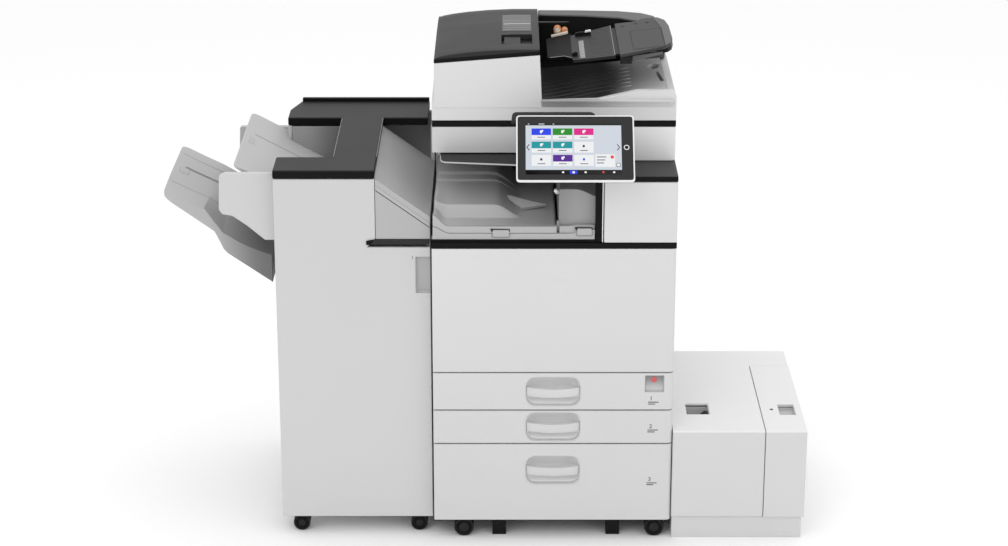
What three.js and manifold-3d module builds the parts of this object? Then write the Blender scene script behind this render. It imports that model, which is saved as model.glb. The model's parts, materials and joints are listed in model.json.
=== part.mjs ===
// Office photocopier with a staple finisher on its left and a large paper magazine on its right.
// Units are millimetres, +Z is up, the front faces -Y.
// Working origin: floor, centre of the main unit, front face.
import * as THREE from 'three';
import { mergeVertices } from 'three/addons/utils/BufferGeometryUtils.js';
import Module from 'manifold-3d';

const wasm = await Module();
wasm.setup();

// Driving dimensions
const GAP = 0.5;                 // running clearance between neighbours
const HALF = 293.5;              // half width of the main unit
const DEPTH = 640;               // main unit, front face to rear cover
const SKIN = 10;                 // cover thickness
const FRONT = 15;                // thickness of doors and tray fronts
const BODY_Z = 50;               // underside of the cabinet
const DECK_Z = 446;              // engine deck and foot of the front door
const TRIM_Z = [764, 778];       // black strip over the front door
const CAVITY_Z = 784.5;          // floor of the output cavity
const TOWER_X = 119;             // left face of the right-hand tower
const SCAN_Y = 126;              // front face of the scanner and the feeder
const SCAN_Z = [945, 1030];      // scanner housing
const SCAN_UNDER = 965;          // its underside over the output cavity
const LID_Z = 1045;              // top of the scanner frame, hinge line of the feeder
const LID_Y = 615;               // rear edge of the feeder
const FEEDER_X = -31;            // right face of the feeder housing
const FEEDER_Z = [1190, 1208.5]; // joint line under the feeder cover, left and right end
const TRAY_Z = [[51, 255], [258.5, 344], [347.5, 443]];
const GRIP = { half: 65, height: 74, low: [148, 264, 357] };
const BIN_Y = [48, 600];          // paper bin behind the grip recess
const FIN = { left: -672, right: -297.5, front: 30, rear: 643, top: 928, bottom: 46 };
const WELL = { right: -533, front: 143, rear: 490, sill: 862 };
const SLOPE_X = -429;            // upper edge of the sloped cover on the finisher
const LCT = { left: 294, right: 626, rear: 545, top: 290, skirt: 57, seam: 524.5, cross: 437 };
const SHIFT_TIP = -950;          // far end of the delivery tray
const PANEL = { x: 45, y: -50, z: 1030, width: 270, height: 160, thick: 20, tilt: 43 };
const COVER_REAR = 655;          // rear edge of the finisher top cover
const WHEEL_R = { main: 24, finisher: 21 };

const DEG = Math.PI / 180;
const panelFront = PANEL.y - PANEL.height / 2 * Math.sin(PANEL.tilt * DEG);
const ORIGIN = [(SHIFT_TIP + LCT.right) / 2, (COVER_REAR + panelFront) / 2, 0];

// Solid helpers
function solid(geometry) {
  const bare = geometry.clone();
  bare.deleteAttribute('normal');
  bare.deleteAttribute('uv');
  const merged = mergeVertices(bare, 1e-4);
  return new wasm.Manifold(new wasm.Mesh({
    numProp: 3,
    vertProperties: new Float32Array(merged.attributes.position.array),
    triVerts: new Uint32Array(merged.index.array),
  }));
}

function join(first, ...rest) {
  return rest.reduce((sum, part) => sum.add(part), first);
}

function cut(body, ...tools) {
  return tools.reduce((left, tool) => left.subtract(tool), body);
}

function box(x, y, z) {
  const geometry = new THREE.BoxGeometry(x[1] - x[0], y[1] - y[0], z[1] - z[0]);
  geometry.translate((x[0] + x[1]) / 2, (y[0] + y[1]) / 2, (z[0] + z[1]) / 2);
  return solid(geometry);
}

function outline(points) {
  return new THREE.Shape(points.map(([a, b]) => new THREE.Vector2(a, b)));
}

function rounded(a, b, radius) {
  const shape = new THREE.Shape();
  shape.moveTo(a[0] + radius, b[0]);
  shape.lineTo(a[1] - radius, b[0]);
  shape.absarc(a[1] - radius, b[0] + radius, radius, -Math.PI / 2, 0);
  shape.lineTo(a[1], b[1] - radius);
  shape.absarc(a[1] - radius, b[1] - radius, radius, 0, Math.PI / 2);
  shape.lineTo(a[0] + radius, b[1]);
  shape.absarc(a[0] + radius, b[1] - radius, radius, Math.PI / 2, Math.PI);
  shape.lineTo(a[0], b[0] + radius);
  shape.absarc(a[0] + radius, b[0] + radius, radius, Math.PI, Math.PI * 1.5);
  return shape;
}

// Extrudes a shape along one axis. The shape's own plane is (x, z), (y, z) or (x, y).
function extrude(shape, axis, range, curveSegments = 4) {
  const depth = range[1] - range[0];
  const geometry = new THREE.ExtrudeGeometry(shape, { depth, bevelEnabled: false, curveSegments });
  if (axis === 'y') {
    geometry.rotateX(Math.PI / 2);
    geometry.translate(0, range[1], 0);
  } else if (axis === 'x') {
    geometry.rotateX(Math.PI / 2);
    geometry.rotateZ(Math.PI / 2);
    geometry.translate(range[0], 0, 0);
  } else {
    geometry.translate(0, 0, range[0]);
  }
  return solid(geometry);
}

function rodY(x, z, radius, y, segments = 24) {
  const geometry = new THREE.CylinderGeometry(radius, radius, y[1] - y[0], segments);
  geometry.translate(x, (y[0] + y[1]) / 2, z);
  return solid(geometry);
}

const finishes = {
  white: { color: 0xdedede, roughness: 0.55, metalness: 0 },
  pale: { color: 0xb9bbbd, roughness: 0.6, metalness: 0 },
  grey: { color: 0x8f9295, roughness: 0.6, metalness: 0 },
  dark: { color: 0x3c3e40, roughness: 0.5, metalness: 0 },
  black: { color: 0x151617, roughness: 0.5, metalness: 0 },
  rubber: { color: 0x26272a, roughness: 0.85, metalness: 0 },
  steel: { color: 0x9a9da0, roughness: 0.4, metalness: 0.9 },
  glass: { color: 0x20262c, roughness: 0.08, metalness: 0 },
  accent: { color: 0xd98a4a, roughness: 0.7, metalness: 0 },
  cyan: { color: 0x1f8fb8, roughness: 0.5, metalness: 0 },
  magenta: { color: 0xb83a78, roughness: 0.5, metalness: 0 },
  yellow: { color: 0xd0b030, roughness: 0.5, metalness: 0 },
};

const machine = new THREE.Group();
machine.name = 'photocopier';
machine.position.set(-ORIGIN[0], -ORIGIN[1], -ORIGIN[2]);

function add(name, body, finish, parent = machine) {
  const data = body.getMesh();
  const geometry = new THREE.BufferGeometry();
  geometry.setAttribute('position', new THREE.BufferAttribute(new Float32Array(data.vertProperties), 3));
  geometry.setIndex(new THREE.BufferAttribute(new Uint32Array(data.triVerts), 1));
  geometry.computeVertexNormals();
  const mesh = new THREE.Mesh(geometry, new THREE.MeshStandardMaterial(finishes[finish]));
  mesh.name = name;
  parent.add(mesh);
  return mesh;
}

function place(name, x, y, z, parent = machine) {
  const group = new THREE.Group();
  group.name = name;
  group.position.set(x, y, z);
  parent.add(group);
  return group;
}

// Cabinet
const inner = HALF - SKIN;
const frontEdge = FRONT + 1;
const rearEdge = DEPTH - SKIN - 1;
const footY = 32;
const footX = [-132, 151];

const rearFeet = [-230, 230].map((x) => box([x - 20, x + 20], [570, 610], [0, BODY_Z + 1]));
const levellers = footX.map((x) => box([x - 17, x + 17], [footY - 9, footY + 25], [0, BODY_Z + 1]));
const floorPan = box([-inner + GAP, inner - GAP], [22, rearEdge - GAP], [BODY_Z, BODY_Z + 10]);
add('base_frame', join(floorPan, ...rearFeet, ...levellers), 'steel');

const ledgeZ = TRAY_Z.map(([, top]) => top - 24);

function ledges(side) {
  const x = [side * (inner + 1), side * 273].sort((p, q) => p - q);
  return ledgeZ.map((z) => box(x, [40, 600], [z, z + 10]));
}

const leftWall = box([-HALF, -inner], [frontEdge, rearEdge], [BODY_Z, CAVITY_Z - GAP]);
const leftPost = box([-HALF, -inner], [500, rearEdge], [CAVITY_Z - 2, SCAN_UNDER - GAP]);
add('left_side_cover', join(leftWall, leftPost, ...ledges(-1)), 'white');

const bypassY = [150, 470];
const bypassZ = [490, 720];
const rightWall = box([inner, HALF], [frontEdge, rearEdge], [BODY_Z, TRIM_Z[1]]);
const bypassHole = box([inner - 1, HALF + 1], [bypassY[0] - 1, bypassY[1] + 1],
  [bypassZ[0] - 1, bypassZ[1] + 1]);
add('right_side_cover', cut(join(rightWall, ...ledges(1)), bypassHole), 'white');
add('bypass_tray', box([inner, HALF], bypassY, bypassZ), 'white');
add('rear_cover', box([-HALF, HALF], [DEPTH - SKIN, DEPTH], [BODY_Z, SCAN_Z[1]]), 'white');
add('power_inlet', cut(
  box([190, 240], [DEPTH + GAP, DEPTH + 11], [90, 126]),
  box([200, 230], [DEPTH + 3, DEPTH + 12], [98, 118]),
), 'black');
add('engine_deck', box([-inner + GAP, inner - GAP], [20, rearEdge - GAP], [DECK_Z, DECK_Z + 8]), 'steel');

// Toner bottles behind the inner cover
const bottleX = [-195, -65, 65, 195];
const bottleZ = 690;
const bottleR = 31;
const innerCover = box([-inner + GAP, inner - GAP], [62, 68], [DECK_Z + 9, TRIM_Z[0] - 3]);
const mouths = bottleX.map((x) => rodY(x, bottleZ, bottleR + 2, [60, 70], 32));
add('inner_cover', cut(innerCover, ...mouths), 'pale');
['black', 'cyan', 'magenta', 'yellow'].forEach((tone, index) => {
  const seat = place(`toner_seat_${index + 1}`, bottleX[index], 0, bottleZ);
  const barrel = rodY(0, 0, bottleR, [46, 380]);
  const thumb = box([-4, 4], [34, 47], [-20, 20]);
  add(`toner_bottle_${index + 1}`, join(barrel, thumb), tone, seat);
});

add('front_door', extrude(rounded([-HALF, HALF], [DECK_Z, TRIM_Z[0] - 1], 3), 'y', [0, FRONT]), 'white');
add('front_trim', join(
  box([-HALF, HALF], [0, FRONT], [TRIM_Z[0], TRIM_Z[1]]),
  box([-HALF, TOWER_X - 7], [7, FRONT], [TRIM_Z[1] - 1, CAVITY_Z - 1]),
), 'dark');

// Output cavity
const cavityX = [-HALF + 3, TOWER_X - 6];
const trayFloor = box(cavityX, [24, 498], [CAVITY_Z, 800]);
const trayLip = box(cavityX, [10, 25], [CAVITY_Z, 817]);
const plateau = extrude(outline([[-290.5, 790], [-90, 790], [-130, 818], [-280, 818], [-285, 846],
  [-290.5, 846]]), 'y', [60, 480]);
add('output_tray', join(trayFloor, trayLip, plateau), 'grey');
const exitFace = outline([[11, 800 + GAP], [TOWER_X - 8, 800 + GAP], [TOWER_X - 8, 887], [90, 896],
  [60, 905], [11, 905]]);
add('exit_unit', extrude(exitFace, 'y', [26, 498]), 'pale');

const towerPlan = outline([[TOWER_X, 0], [HALF, 0], [HALF, rearEdge], [inner, rearEdge], [inner, 12],
  [TOWER_X + 8, 12], [TOWER_X + 8, rearEdge], [TOWER_X, rearEdge]]);
add('tower_cover', extrude(towerPlan, 'z', [TRIM_Z[1] + GAP, 930]), 'white');
add('tower_cap', box([TOWER_X - 5, HALF], [0, rearEdge], [931, SCAN_Z[0] - GAP]), 'dark');

// Scanner
const glassX = [-226, 226];
const glassY = [162, 560];
add('scanner_housing', cut(
  extrude(rounded([-HALF, HALF], SCAN_Z, 8), 'y', [SCAN_Y, LID_Y]),
  box([-HALF - 1, TOWER_X - 5], [SCAN_Y - 1, LID_Y + 1], [SCAN_Z[0] - 1, SCAN_UNDER]),
  box([-272, 272], [SCAN_Y + 18, LID_Y - 18], [SCAN_UNDER + 8, SCAN_Z[1] + 5]),
), 'white');
add('scanner_frame', cut(
  box([-HALF, HALF], [SCAN_Y, LID_Y], [SCAN_Z[1] + GAP, LID_Z]),
  box(glassX, glassY, [SCAN_Z[1] - 5, LID_Z + 5]),
), 'black');
add('platen_glass', box(
  [glassX[0] + GAP, glassX[1] - GAP], [glassY[0] + GAP, glassY[1] - GAP], [LID_Z - 7, LID_Z - 1],
), 'glass');
add('scan_carriage', box([-262, -222], [150, 590], [SCAN_UNDER + 12, 1020]), 'black');
add('feeder_hinge', box([-240, 240], [LID_Y + 1, DEPTH], [SCAN_Z[1] + 1, LID_Z - 1]), 'steel');

// Document feeder
const lidBase = box([-HALF, HALF], [SCAN_Y + 12, LID_Y - 3], [LID_Z + 1, 1078]);
const lidLip = extrude(outline([[-HALF, LID_Z + 1], [HALF, LID_Z + 1], [HALF, 1106], [284, 1119],
  [200, 1120], [105, 1098], [FEEDER_X + 10, 1094], [-HALF, 1094]]), 'y', [SCAN_Y, SCAN_Y + 18]);
const lidEnd = box([276, HALF], [SCAN_Y + 10, LID_Y - 3], [1070, 1104]);
const lidLeft = box([-HALF, FEEDER_X], [SCAN_Y + 10, LID_Y - 3], [1070, 1094]);
add('feeder_base', join(lidBase, lidLip, lidEnd, lidLeft), 'white');
const feederX = [-287, FEEDER_X];
const feederRear = LID_Y - 15;
const [seamLeft, seamRight] = FEEDER_Z;
const overSeam = outline([[-HALF, seamLeft - GAP], [FEEDER_X + 1, seamRight - GAP], [FEEDER_X + 1, 1250],
  [-HALF, 1250]]);
add('feeder_housing', cut(
  extrude(rounded(feederX, [SCAN_Y + 1, feederRear], 10), 'z', [1094 + GAP, 1230]),
  extrude(overSeam, 'y', [SCAN_Y - 1, LID_Y]),
  box([-262, FEEDER_X + 5], [150, 575], [1112, 1240]),
), 'white');
const crown = [[SCAN_Y + 1, 1150], [feederRear, 1150], [feederRear, 1196], [585, 1206], [540, 1216], [400, 1222],
  [240, 1222], [150, 1220], [133, 1217], [SCAN_Y + 1, 1211]];
const coverFace = [[-287, seamLeft + GAP], [FEEDER_X, seamRight + GAP], [FEEDER_X, 1222], [-120, 1219],
  [-210, 1213], [-275, 1205], [-287, 1199]];
const rollerY = [447, 471];
const rollerX = 14;
const rollerZ = 1188;
const nose = box([FEEDER_X - 5, rollerX + 12], [rollerY[0] - 4, rollerY[1] + 4], [1209.5, 1215]);
const cheeks = [rollerY[0] - 4, rollerY[1] + 1].map((y) => box(
  [rollerX - 6, rollerX + 12], [y, y + 3], [rollerZ - 5, 1211],
));
const coverShell = extrude(outline(crown), 'x', feederX).intersect(
  extrude(outline(coverFace), 'y', [SCAN_Y, LID_Y]),
);
add('feeder_cover', join(coverShell, nose, ...cheeks), 'dark');
add('pickup_roller', rodY(0, 0, 11, rollerY), 'accent', place('pickup_seat', rollerX, 0, rollerZ));
add('feeder_rear_arm', extrude(outline([[FEEDER_X + 1, 1079], [272, 1079], [274, 1105], [286, 1106],
  [287, 1158], [280, 1176], [262, 1188], [217, 1198], [110, 1208], [FEEDER_X + 1, 1212]]),
  'y', [482, feederRear]), 'dark');
add('feeder_exit_tray', extrude(outline([[FEEDER_X + 1, 1079], [274, 1079], [274, 1110], [160, 1100],
  [FEEDER_X + 1, 1082]]), 'y', [SCAN_Y + 19, 481]), 'grey');

// Document tray, pivoted at its left end
const pivot = { x: -14, z: 1170 };
const docRise = Math.atan2(34, 291);
const docTray = place('document_tray_pivot', pivot.x, 0, pivot.z);
docTray.rotation.y = -docRise;
add('document_tray', join(
  box([0, 165], [180, 440], [-2, 6]),
  box([160, 306], [192, 430], [2, 11]),
), 'dark', docTray);
[['front_guide', 214], ['rear_guide', 404]].forEach(([name, y]) => {
  add(name, box([70, 150], [y, y + 6], [6.5, 30]), 'grey', docTray);
});

// Operation panel
const panelHinge = place('panel_hinge', PANEL.x, PANEL.y, PANEL.z);
panelHinge.rotation.x = -PANEL.tilt * DEG;
const halfW = PANEL.width / 2;
const halfH = PANEL.height / 2;
const recess = box([-118, 108], [-1, 3], [-62, 58]);
const keyHole = box([116, 130], [-1, 6], [-9, 9]);
const rearShell = box([-halfW - 10, halfW - 50], [14, 34], [halfH - 32, halfH + 10]);
const rearBlock = box([-60, 60], [14, 34], [-40, halfH - 20]);
add('panel_housing', cut(
  join(extrude(rounded([-halfW, halfW], [-halfH, halfH], 10), 'y', [0, PANEL.thick]), rearShell, rearBlock),
  recess,
  keyHole,
), 'white', panelHinge);
add('panel_screen', box([-118 + GAP, 108 - GAP], [0.6, 3 - GAP], [-62 + GAP, 58 - GAP]), 'glass', panelHinge);
add('home_key', box([116.5, 129.5], [-1, 4], [-8.5, 8.5]), 'dark', panelHinge);
add('panel_arm', join(
  box([PANEL.x - 60, PANEL.x + 40], [-6, SCAN_Y - GAP], [990, 1012]),
  box([PANEL.x - 90, PANEL.x + 60], [SCAN_Y - 16, SCAN_Y - GAP], [960, 1020]),
), 'dark');

// Paper trays: a front with a grip bar across its window, and a bin whose side flanges reach forward to it
TRAY_Z.forEach(([low, high], index) => {
  const number = TRAY_Z.length - index;
  const gripLow = GRIP.low[index];
  const windowZ = [gripLow, gripLow + GRIP.height];
  const slab = extrude(rounded([-HALF, HALF], [low, high], index === 0 ? 8 : 2), 'y', [0, FRONT]);
  const hole = extrude(rounded([-GRIP.half, GRIP.half], windowZ, 12), 'y', [-1, FRONT + 1]);
  const bar = box([-GRIP.half - 2, GRIP.half + 2], [1, 11], [gripLow + 22, gripLow + 46]);
  add(`tray_${number}_front`, join(cut(slab, hole), bar), 'white');
  const floor = low + 12;
  const rim = high - 6;
  const shell = box([-270, 270], [BIN_Y[0], BIN_Y[1]], [floor, rim]);
  const flanges = [-1, 1].map((side) => box(
    [side * 281, side * 269].sort((p, q) => p - q), [FRONT + GAP, BIN_Y[1]], [rim - 6, rim],
  ));
  const hollow = box([-265, 265], [BIN_Y[0] + 5, BIN_Y[1] - 5], [floor + 5, rim + 1]);
  add(`tray_${number}_bin`, join(cut(shell, hollow), ...flanges), 'pale');
});

// Casters
function caster(name, x, y, radius) {
  const trail = 14;
  const swivel = place(`${name}_caster`, x - trail, y, 0);
  const stem = box([-12, 12], [-6, 6], [40, BODY_Z - GAP]);
  const web = box([-4, trail + 9], [-6, 6], [17, 42]);
  const bore = rodY(trail, radius, 6, [-8, 8], 16);
  add(`${name}_caster_yoke`, cut(join(stem, web), bore), 'black', swivel);
  const axle = place(`${name}_axle`, trail, 0, radius + 0.3, swivel);
  const discs = [[-20, -7], [7, 20]].map((span) => rodY(0, 0, radius - 12, span, 24));
  const tyres = [[-18, -8.5], [8.5, 18]].map((span) => rodY(0, 0, radius, span, 24));
  const relief = cut(join(...tyres), box([-60, 60], [-6.8, 6.8], [-60, 60]));
  add(`${name}_caster_wheel`, join(relief, ...discs, rodY(0, 0, 5, [-12, 12], 16)), 'rubber', axle);
}

caster('front_left', -220, footY, WHEEL_R.main);
caster('front_right', 254, footY, WHEEL_R.main);
caster('finisher_left', -627, 65, WHEEL_R.finisher);
caster('finisher_right', -332, 65, WHEEL_R.finisher);

// Finisher
const finY = [FIN.front + FRONT + 1, FIN.rear];
const finFeet = [-630, -340].map((x) => box([x - 18, x + 18], [570, 606], [0, BODY_Z + 1]));
const finShell = cut(
  box([FIN.left, FIN.right], finY, [BODY_Z, FIN.top]),
  box([FIN.left + SKIN, FIN.right - SKIN], [finY[0] - 1, FIN.rear - SKIN], [BODY_Z + SKIN, FIN.top + 1]),
  box([FIN.left - 1, FIN.left + SKIN + 1], [WELL.front, WELL.rear], [WELL.sill, FIN.top + 1]),
  box([FIN.left - 1, FIN.left + SKIN + 1], [170, 460], [770, 792]),
  box([SLOPE_X, FIN.right + 1], [finY[0] - 1, WELL.rear], [822, FIN.top + 1]),
);
add('finisher_housing', join(finShell, ...finFeet), 'white');

const slopeLow = 834;
const slopeFace = [[SLOPE_X, FIN.top], [FIN.right, slopeLow]];
const slopeSheet = outline([[WELL.right, 800], [WELL.right, FIN.top], ...slopeFace, [FIN.right, slopeLow - 9],
  [SLOPE_X - 3, FIN.top - 9], [WELL.right + 8, FIN.top - 9], [WELL.right + 8, 800]]);
const cheekTop = [[FIN.right, slopeLow], [SLOPE_X + 1, FIN.top]];
const slopeCheek = outline([[SLOPE_X + 1, TRIM_Z[1]], [FIN.right, TRIM_Z[1]], ...cheekTop]);
const cheekBridge = outline([[SLOPE_X + 1, 824], [FIN.right, 824], ...cheekTop]);
add('finisher_slope_cover', join(
  extrude(slopeSheet, 'y', [finY[0], WELL.rear - 2]),
  extrude(slopeCheek, 'y', [FIN.front, finY[0] - GAP]),
  extrude(cheekBridge, 'y', [finY[0] - 1, finY[0] + 6]),
), 'pale');

const coverPlan = outline([[FIN.left, FIN.front], [SLOPE_X, FIN.front], [SLOPE_X, WELL.rear], [-314, WELL.rear],
  [-314, COVER_REAR], [-646, COVER_REAR], [FIN.left, COVER_REAR - 90], [FIN.left, WELL.rear],
  [WELL.right, WELL.rear], [WELL.right, WELL.front], [FIN.left, WELL.front]]);
add('finisher_top_cover', extrude(coverPlan, 'z', [FIN.top + 1, 950]), 'dark');

const doorPlan = outline([[FIN.left, FIN.bottom], [FIN.right, FIN.bottom], [FIN.right, 757], [-449, 757],
  [SLOPE_X, TRIM_Z[1]], [SLOPE_X, FIN.top], [FIN.left, FIN.top]]);
const doorGrip = box([-333, FIN.right + 1], [FIN.front - 1, FIN.front + 11], [640, 732]);
add('finisher_door', cut(extrude(doorPlan, 'y', [FIN.front, FIN.front + FRONT]), doorGrip), 'white');

const upperTray = outline([[-768, 948], [-762, 956], [-541, 826], [-541, 812], [-600, 838]]);
const upperTip = outline([[-768, 948], [-762, 956], [-682, 909], [-682, 891.7]]);
add('upper_tray', join(
  extrude(upperTray, 'y', [WELL.front + 4, WELL.rear - 4]),
  extrude(upperTip, 'y', [118, 508]),
), 'pale');

const trayArm = outline([[FIN.left - GAP, 764], [FIN.left - GAP, 934], [-740, 934], [-795, 927], [-805, 915],
  [-800, 840], [-760, 815], [-704, 768]]);
add('exit_cover', join(
  extrude(trayArm, 'y', [60, 74]),
  extrude(trayArm, 'y', [556, 570]),
  box([FIN.left - 16, FIN.left - GAP], [70, 560], [700, 775]),
), 'white');
const shiftRoot = FIN.left - 18;
add('shift_tray', extrude(outline([[shiftRoot, 627], [shiftRoot, 713], [-712, 725], [-780, 768], [-848, 808],
  [-900, 833], [SHIFT_TIP + 3, 858], [SHIFT_TIP, 848], [-828, 758], [-805, 707]]), 'y', [146, 549]), 'grey');

// Large paper magazine
const lctInner = [LCT.left + 1 + SKIN, LCT.right - SKIN];
add('magazine_base', cut(
  box([LCT.left + 3, LCT.right - 6], [6, LCT.rear - 5], [0, LCT.skirt]),
  box([LCT.left + 12, LCT.right - 15], [15, LCT.rear - 14], [12, LCT.skirt + 1]),
), 'white');
const lctX = [LCT.left + 1, LCT.right];
const lctSkirt = LCT.skirt + GAP;
const magazine = box(lctX, [0, LCT.rear], [lctSkirt, LCT.top]);
const store = box(lctInner, [SKIN, LCT.rear - SKIN], [lctSkirt - 1, LCT.top - SKIN]);
const hatch = box([LCT.seam - 1, LCT.right + 1], [-1, LCT.cross + 1], [lctSkirt - 1, LCT.top + 1]);
const leverPocket = box([337, 393], [109, 180], [LCT.top - 14, LCT.top + 1]);
add('magazine_cover', cut(magazine, store, hatch, leverPocket), 'white');
const hatchBlock = box([LCT.seam, LCT.right], [0, LCT.cross], [lctSkirt, LCT.top]);
const hatchInside = box([LCT.seam - 1, LCT.right - SKIN], [SKIN, LCT.cross + 1],
  [lctSkirt - 1, LCT.top - SKIN]);
const gripPocket = box([569, 609], [105, 174], [LCT.top - 14, LCT.top + 1]);
add('magazine_hatch', cut(hatchBlock, hatchInside, gripPocket), 'white');

export default machine;
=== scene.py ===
import json
import math

import bmesh
import bpy
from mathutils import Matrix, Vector


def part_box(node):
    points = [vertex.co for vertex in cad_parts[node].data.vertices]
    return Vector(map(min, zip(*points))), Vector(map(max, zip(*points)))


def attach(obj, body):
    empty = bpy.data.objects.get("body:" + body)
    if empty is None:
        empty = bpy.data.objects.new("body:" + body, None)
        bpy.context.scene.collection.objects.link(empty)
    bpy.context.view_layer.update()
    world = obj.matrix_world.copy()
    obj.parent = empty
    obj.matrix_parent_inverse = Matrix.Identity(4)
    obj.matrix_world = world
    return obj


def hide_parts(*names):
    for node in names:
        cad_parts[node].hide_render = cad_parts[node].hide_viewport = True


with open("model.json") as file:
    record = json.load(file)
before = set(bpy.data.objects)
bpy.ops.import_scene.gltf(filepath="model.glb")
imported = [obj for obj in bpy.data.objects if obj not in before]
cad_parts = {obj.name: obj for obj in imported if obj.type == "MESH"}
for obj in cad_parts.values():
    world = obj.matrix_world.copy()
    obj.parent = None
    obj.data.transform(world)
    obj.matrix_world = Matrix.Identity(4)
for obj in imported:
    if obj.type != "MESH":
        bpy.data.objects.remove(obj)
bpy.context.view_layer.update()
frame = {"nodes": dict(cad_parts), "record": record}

# The machine's own coordinates are millimetres from the middle of the main unit's front edge on the floor.
MM = 0.001
DOOR_LOW, DOOR_HIGH = (Vector(corner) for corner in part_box("front_door"))
ORIGIN = Vector(((DOOR_LOW.x + DOOR_HIGH.x) / 2, DOOR_LOW.y, 0.0))


def at(x, y, z):
    """A point given in the machine's millimetres, in the row frame's metres."""
    return ORIGIN + Vector((x, y, z)) * MM


# ---------------------------------------------------------------- camera, floor and light

CAMERA_SPOT = (-120.0, -5543.0, 2665.0)
CAMERA_PITCH = math.radians(19.5)
LENS = 87.5

camera_data = bpy.data.cameras.new("camera")
camera_data.lens = LENS
camera_data.sensor_width = 36.0
camera = bpy.data.objects.new("camera", camera_data)
camera.location = at(*CAMERA_SPOT)
camera.rotation_euler = (math.pi / 2 - CAMERA_PITCH, 0.0, 0.0)
bpy.context.collection.objects.link(camera)
bpy.context.scene.camera = camera
bpy.context.scene.view_settings.view_transform = "Standard"


def area_light(name, spot, target, size, power):
    data = bpy.data.lights.new(name, "AREA")
    data.shape = "RECTANGLE"
    data.size, data.size_y = size
    data.energy = power
    light = bpy.data.objects.new(name, data)
    light.location = spot
    light.rotation_euler = (Vector(target) - Vector(spot)).to_track_quat("-Z", "Y").to_euler()
    bpy.context.collection.objects.link(light)
    return light


def studio():
    world = bpy.data.worlds.new("studio")
    world.use_nodes = True
    background = world.node_tree.nodes["Background"]
    background.inputs["Color"].default_value = (1.0, 1.0, 1.0, 1.0)
    background.inputs["Strength"].default_value = 0.95
    bpy.context.scene.world = world
    area_light("key", (-1.6, -4.2, 4.0), (0.0, 0.0, 0.7), (2.4, 2.4), 34.0)
    area_light("fill", (3.4, -3.0, 2.6), (0.1, 0.0, 0.5), (2.4, 2.4), 8.0)
    area_light("top", (0.0, 0.2, 4.6), (0.0, 0.0, 0.0), (3.2, 2.4), 22.0)
    mesh = bpy.data.meshes.new("floor")
    mesh.from_pydata([(-14, -14, 0), (14, -14, 0), (14, 14, 0), (-14, 14, 0)], [], [(0, 1, 2, 3)])
    floor = bpy.data.objects.new("floor", mesh)
    bpy.context.collection.objects.link(floor)
    material = bpy.data.materials.new("floor_paper")
    material.use_nodes = True
    shader = material.node_tree.nodes["Principled BSDF"]
    shader.inputs["Base Color"].default_value = (1.0, 1.0, 1.0, 1.0)
    shader.inputs["Roughness"].default_value = 0.9
    mesh.materials.append(material)


studio()


# ---------------------------------------------------------------- materials

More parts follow.
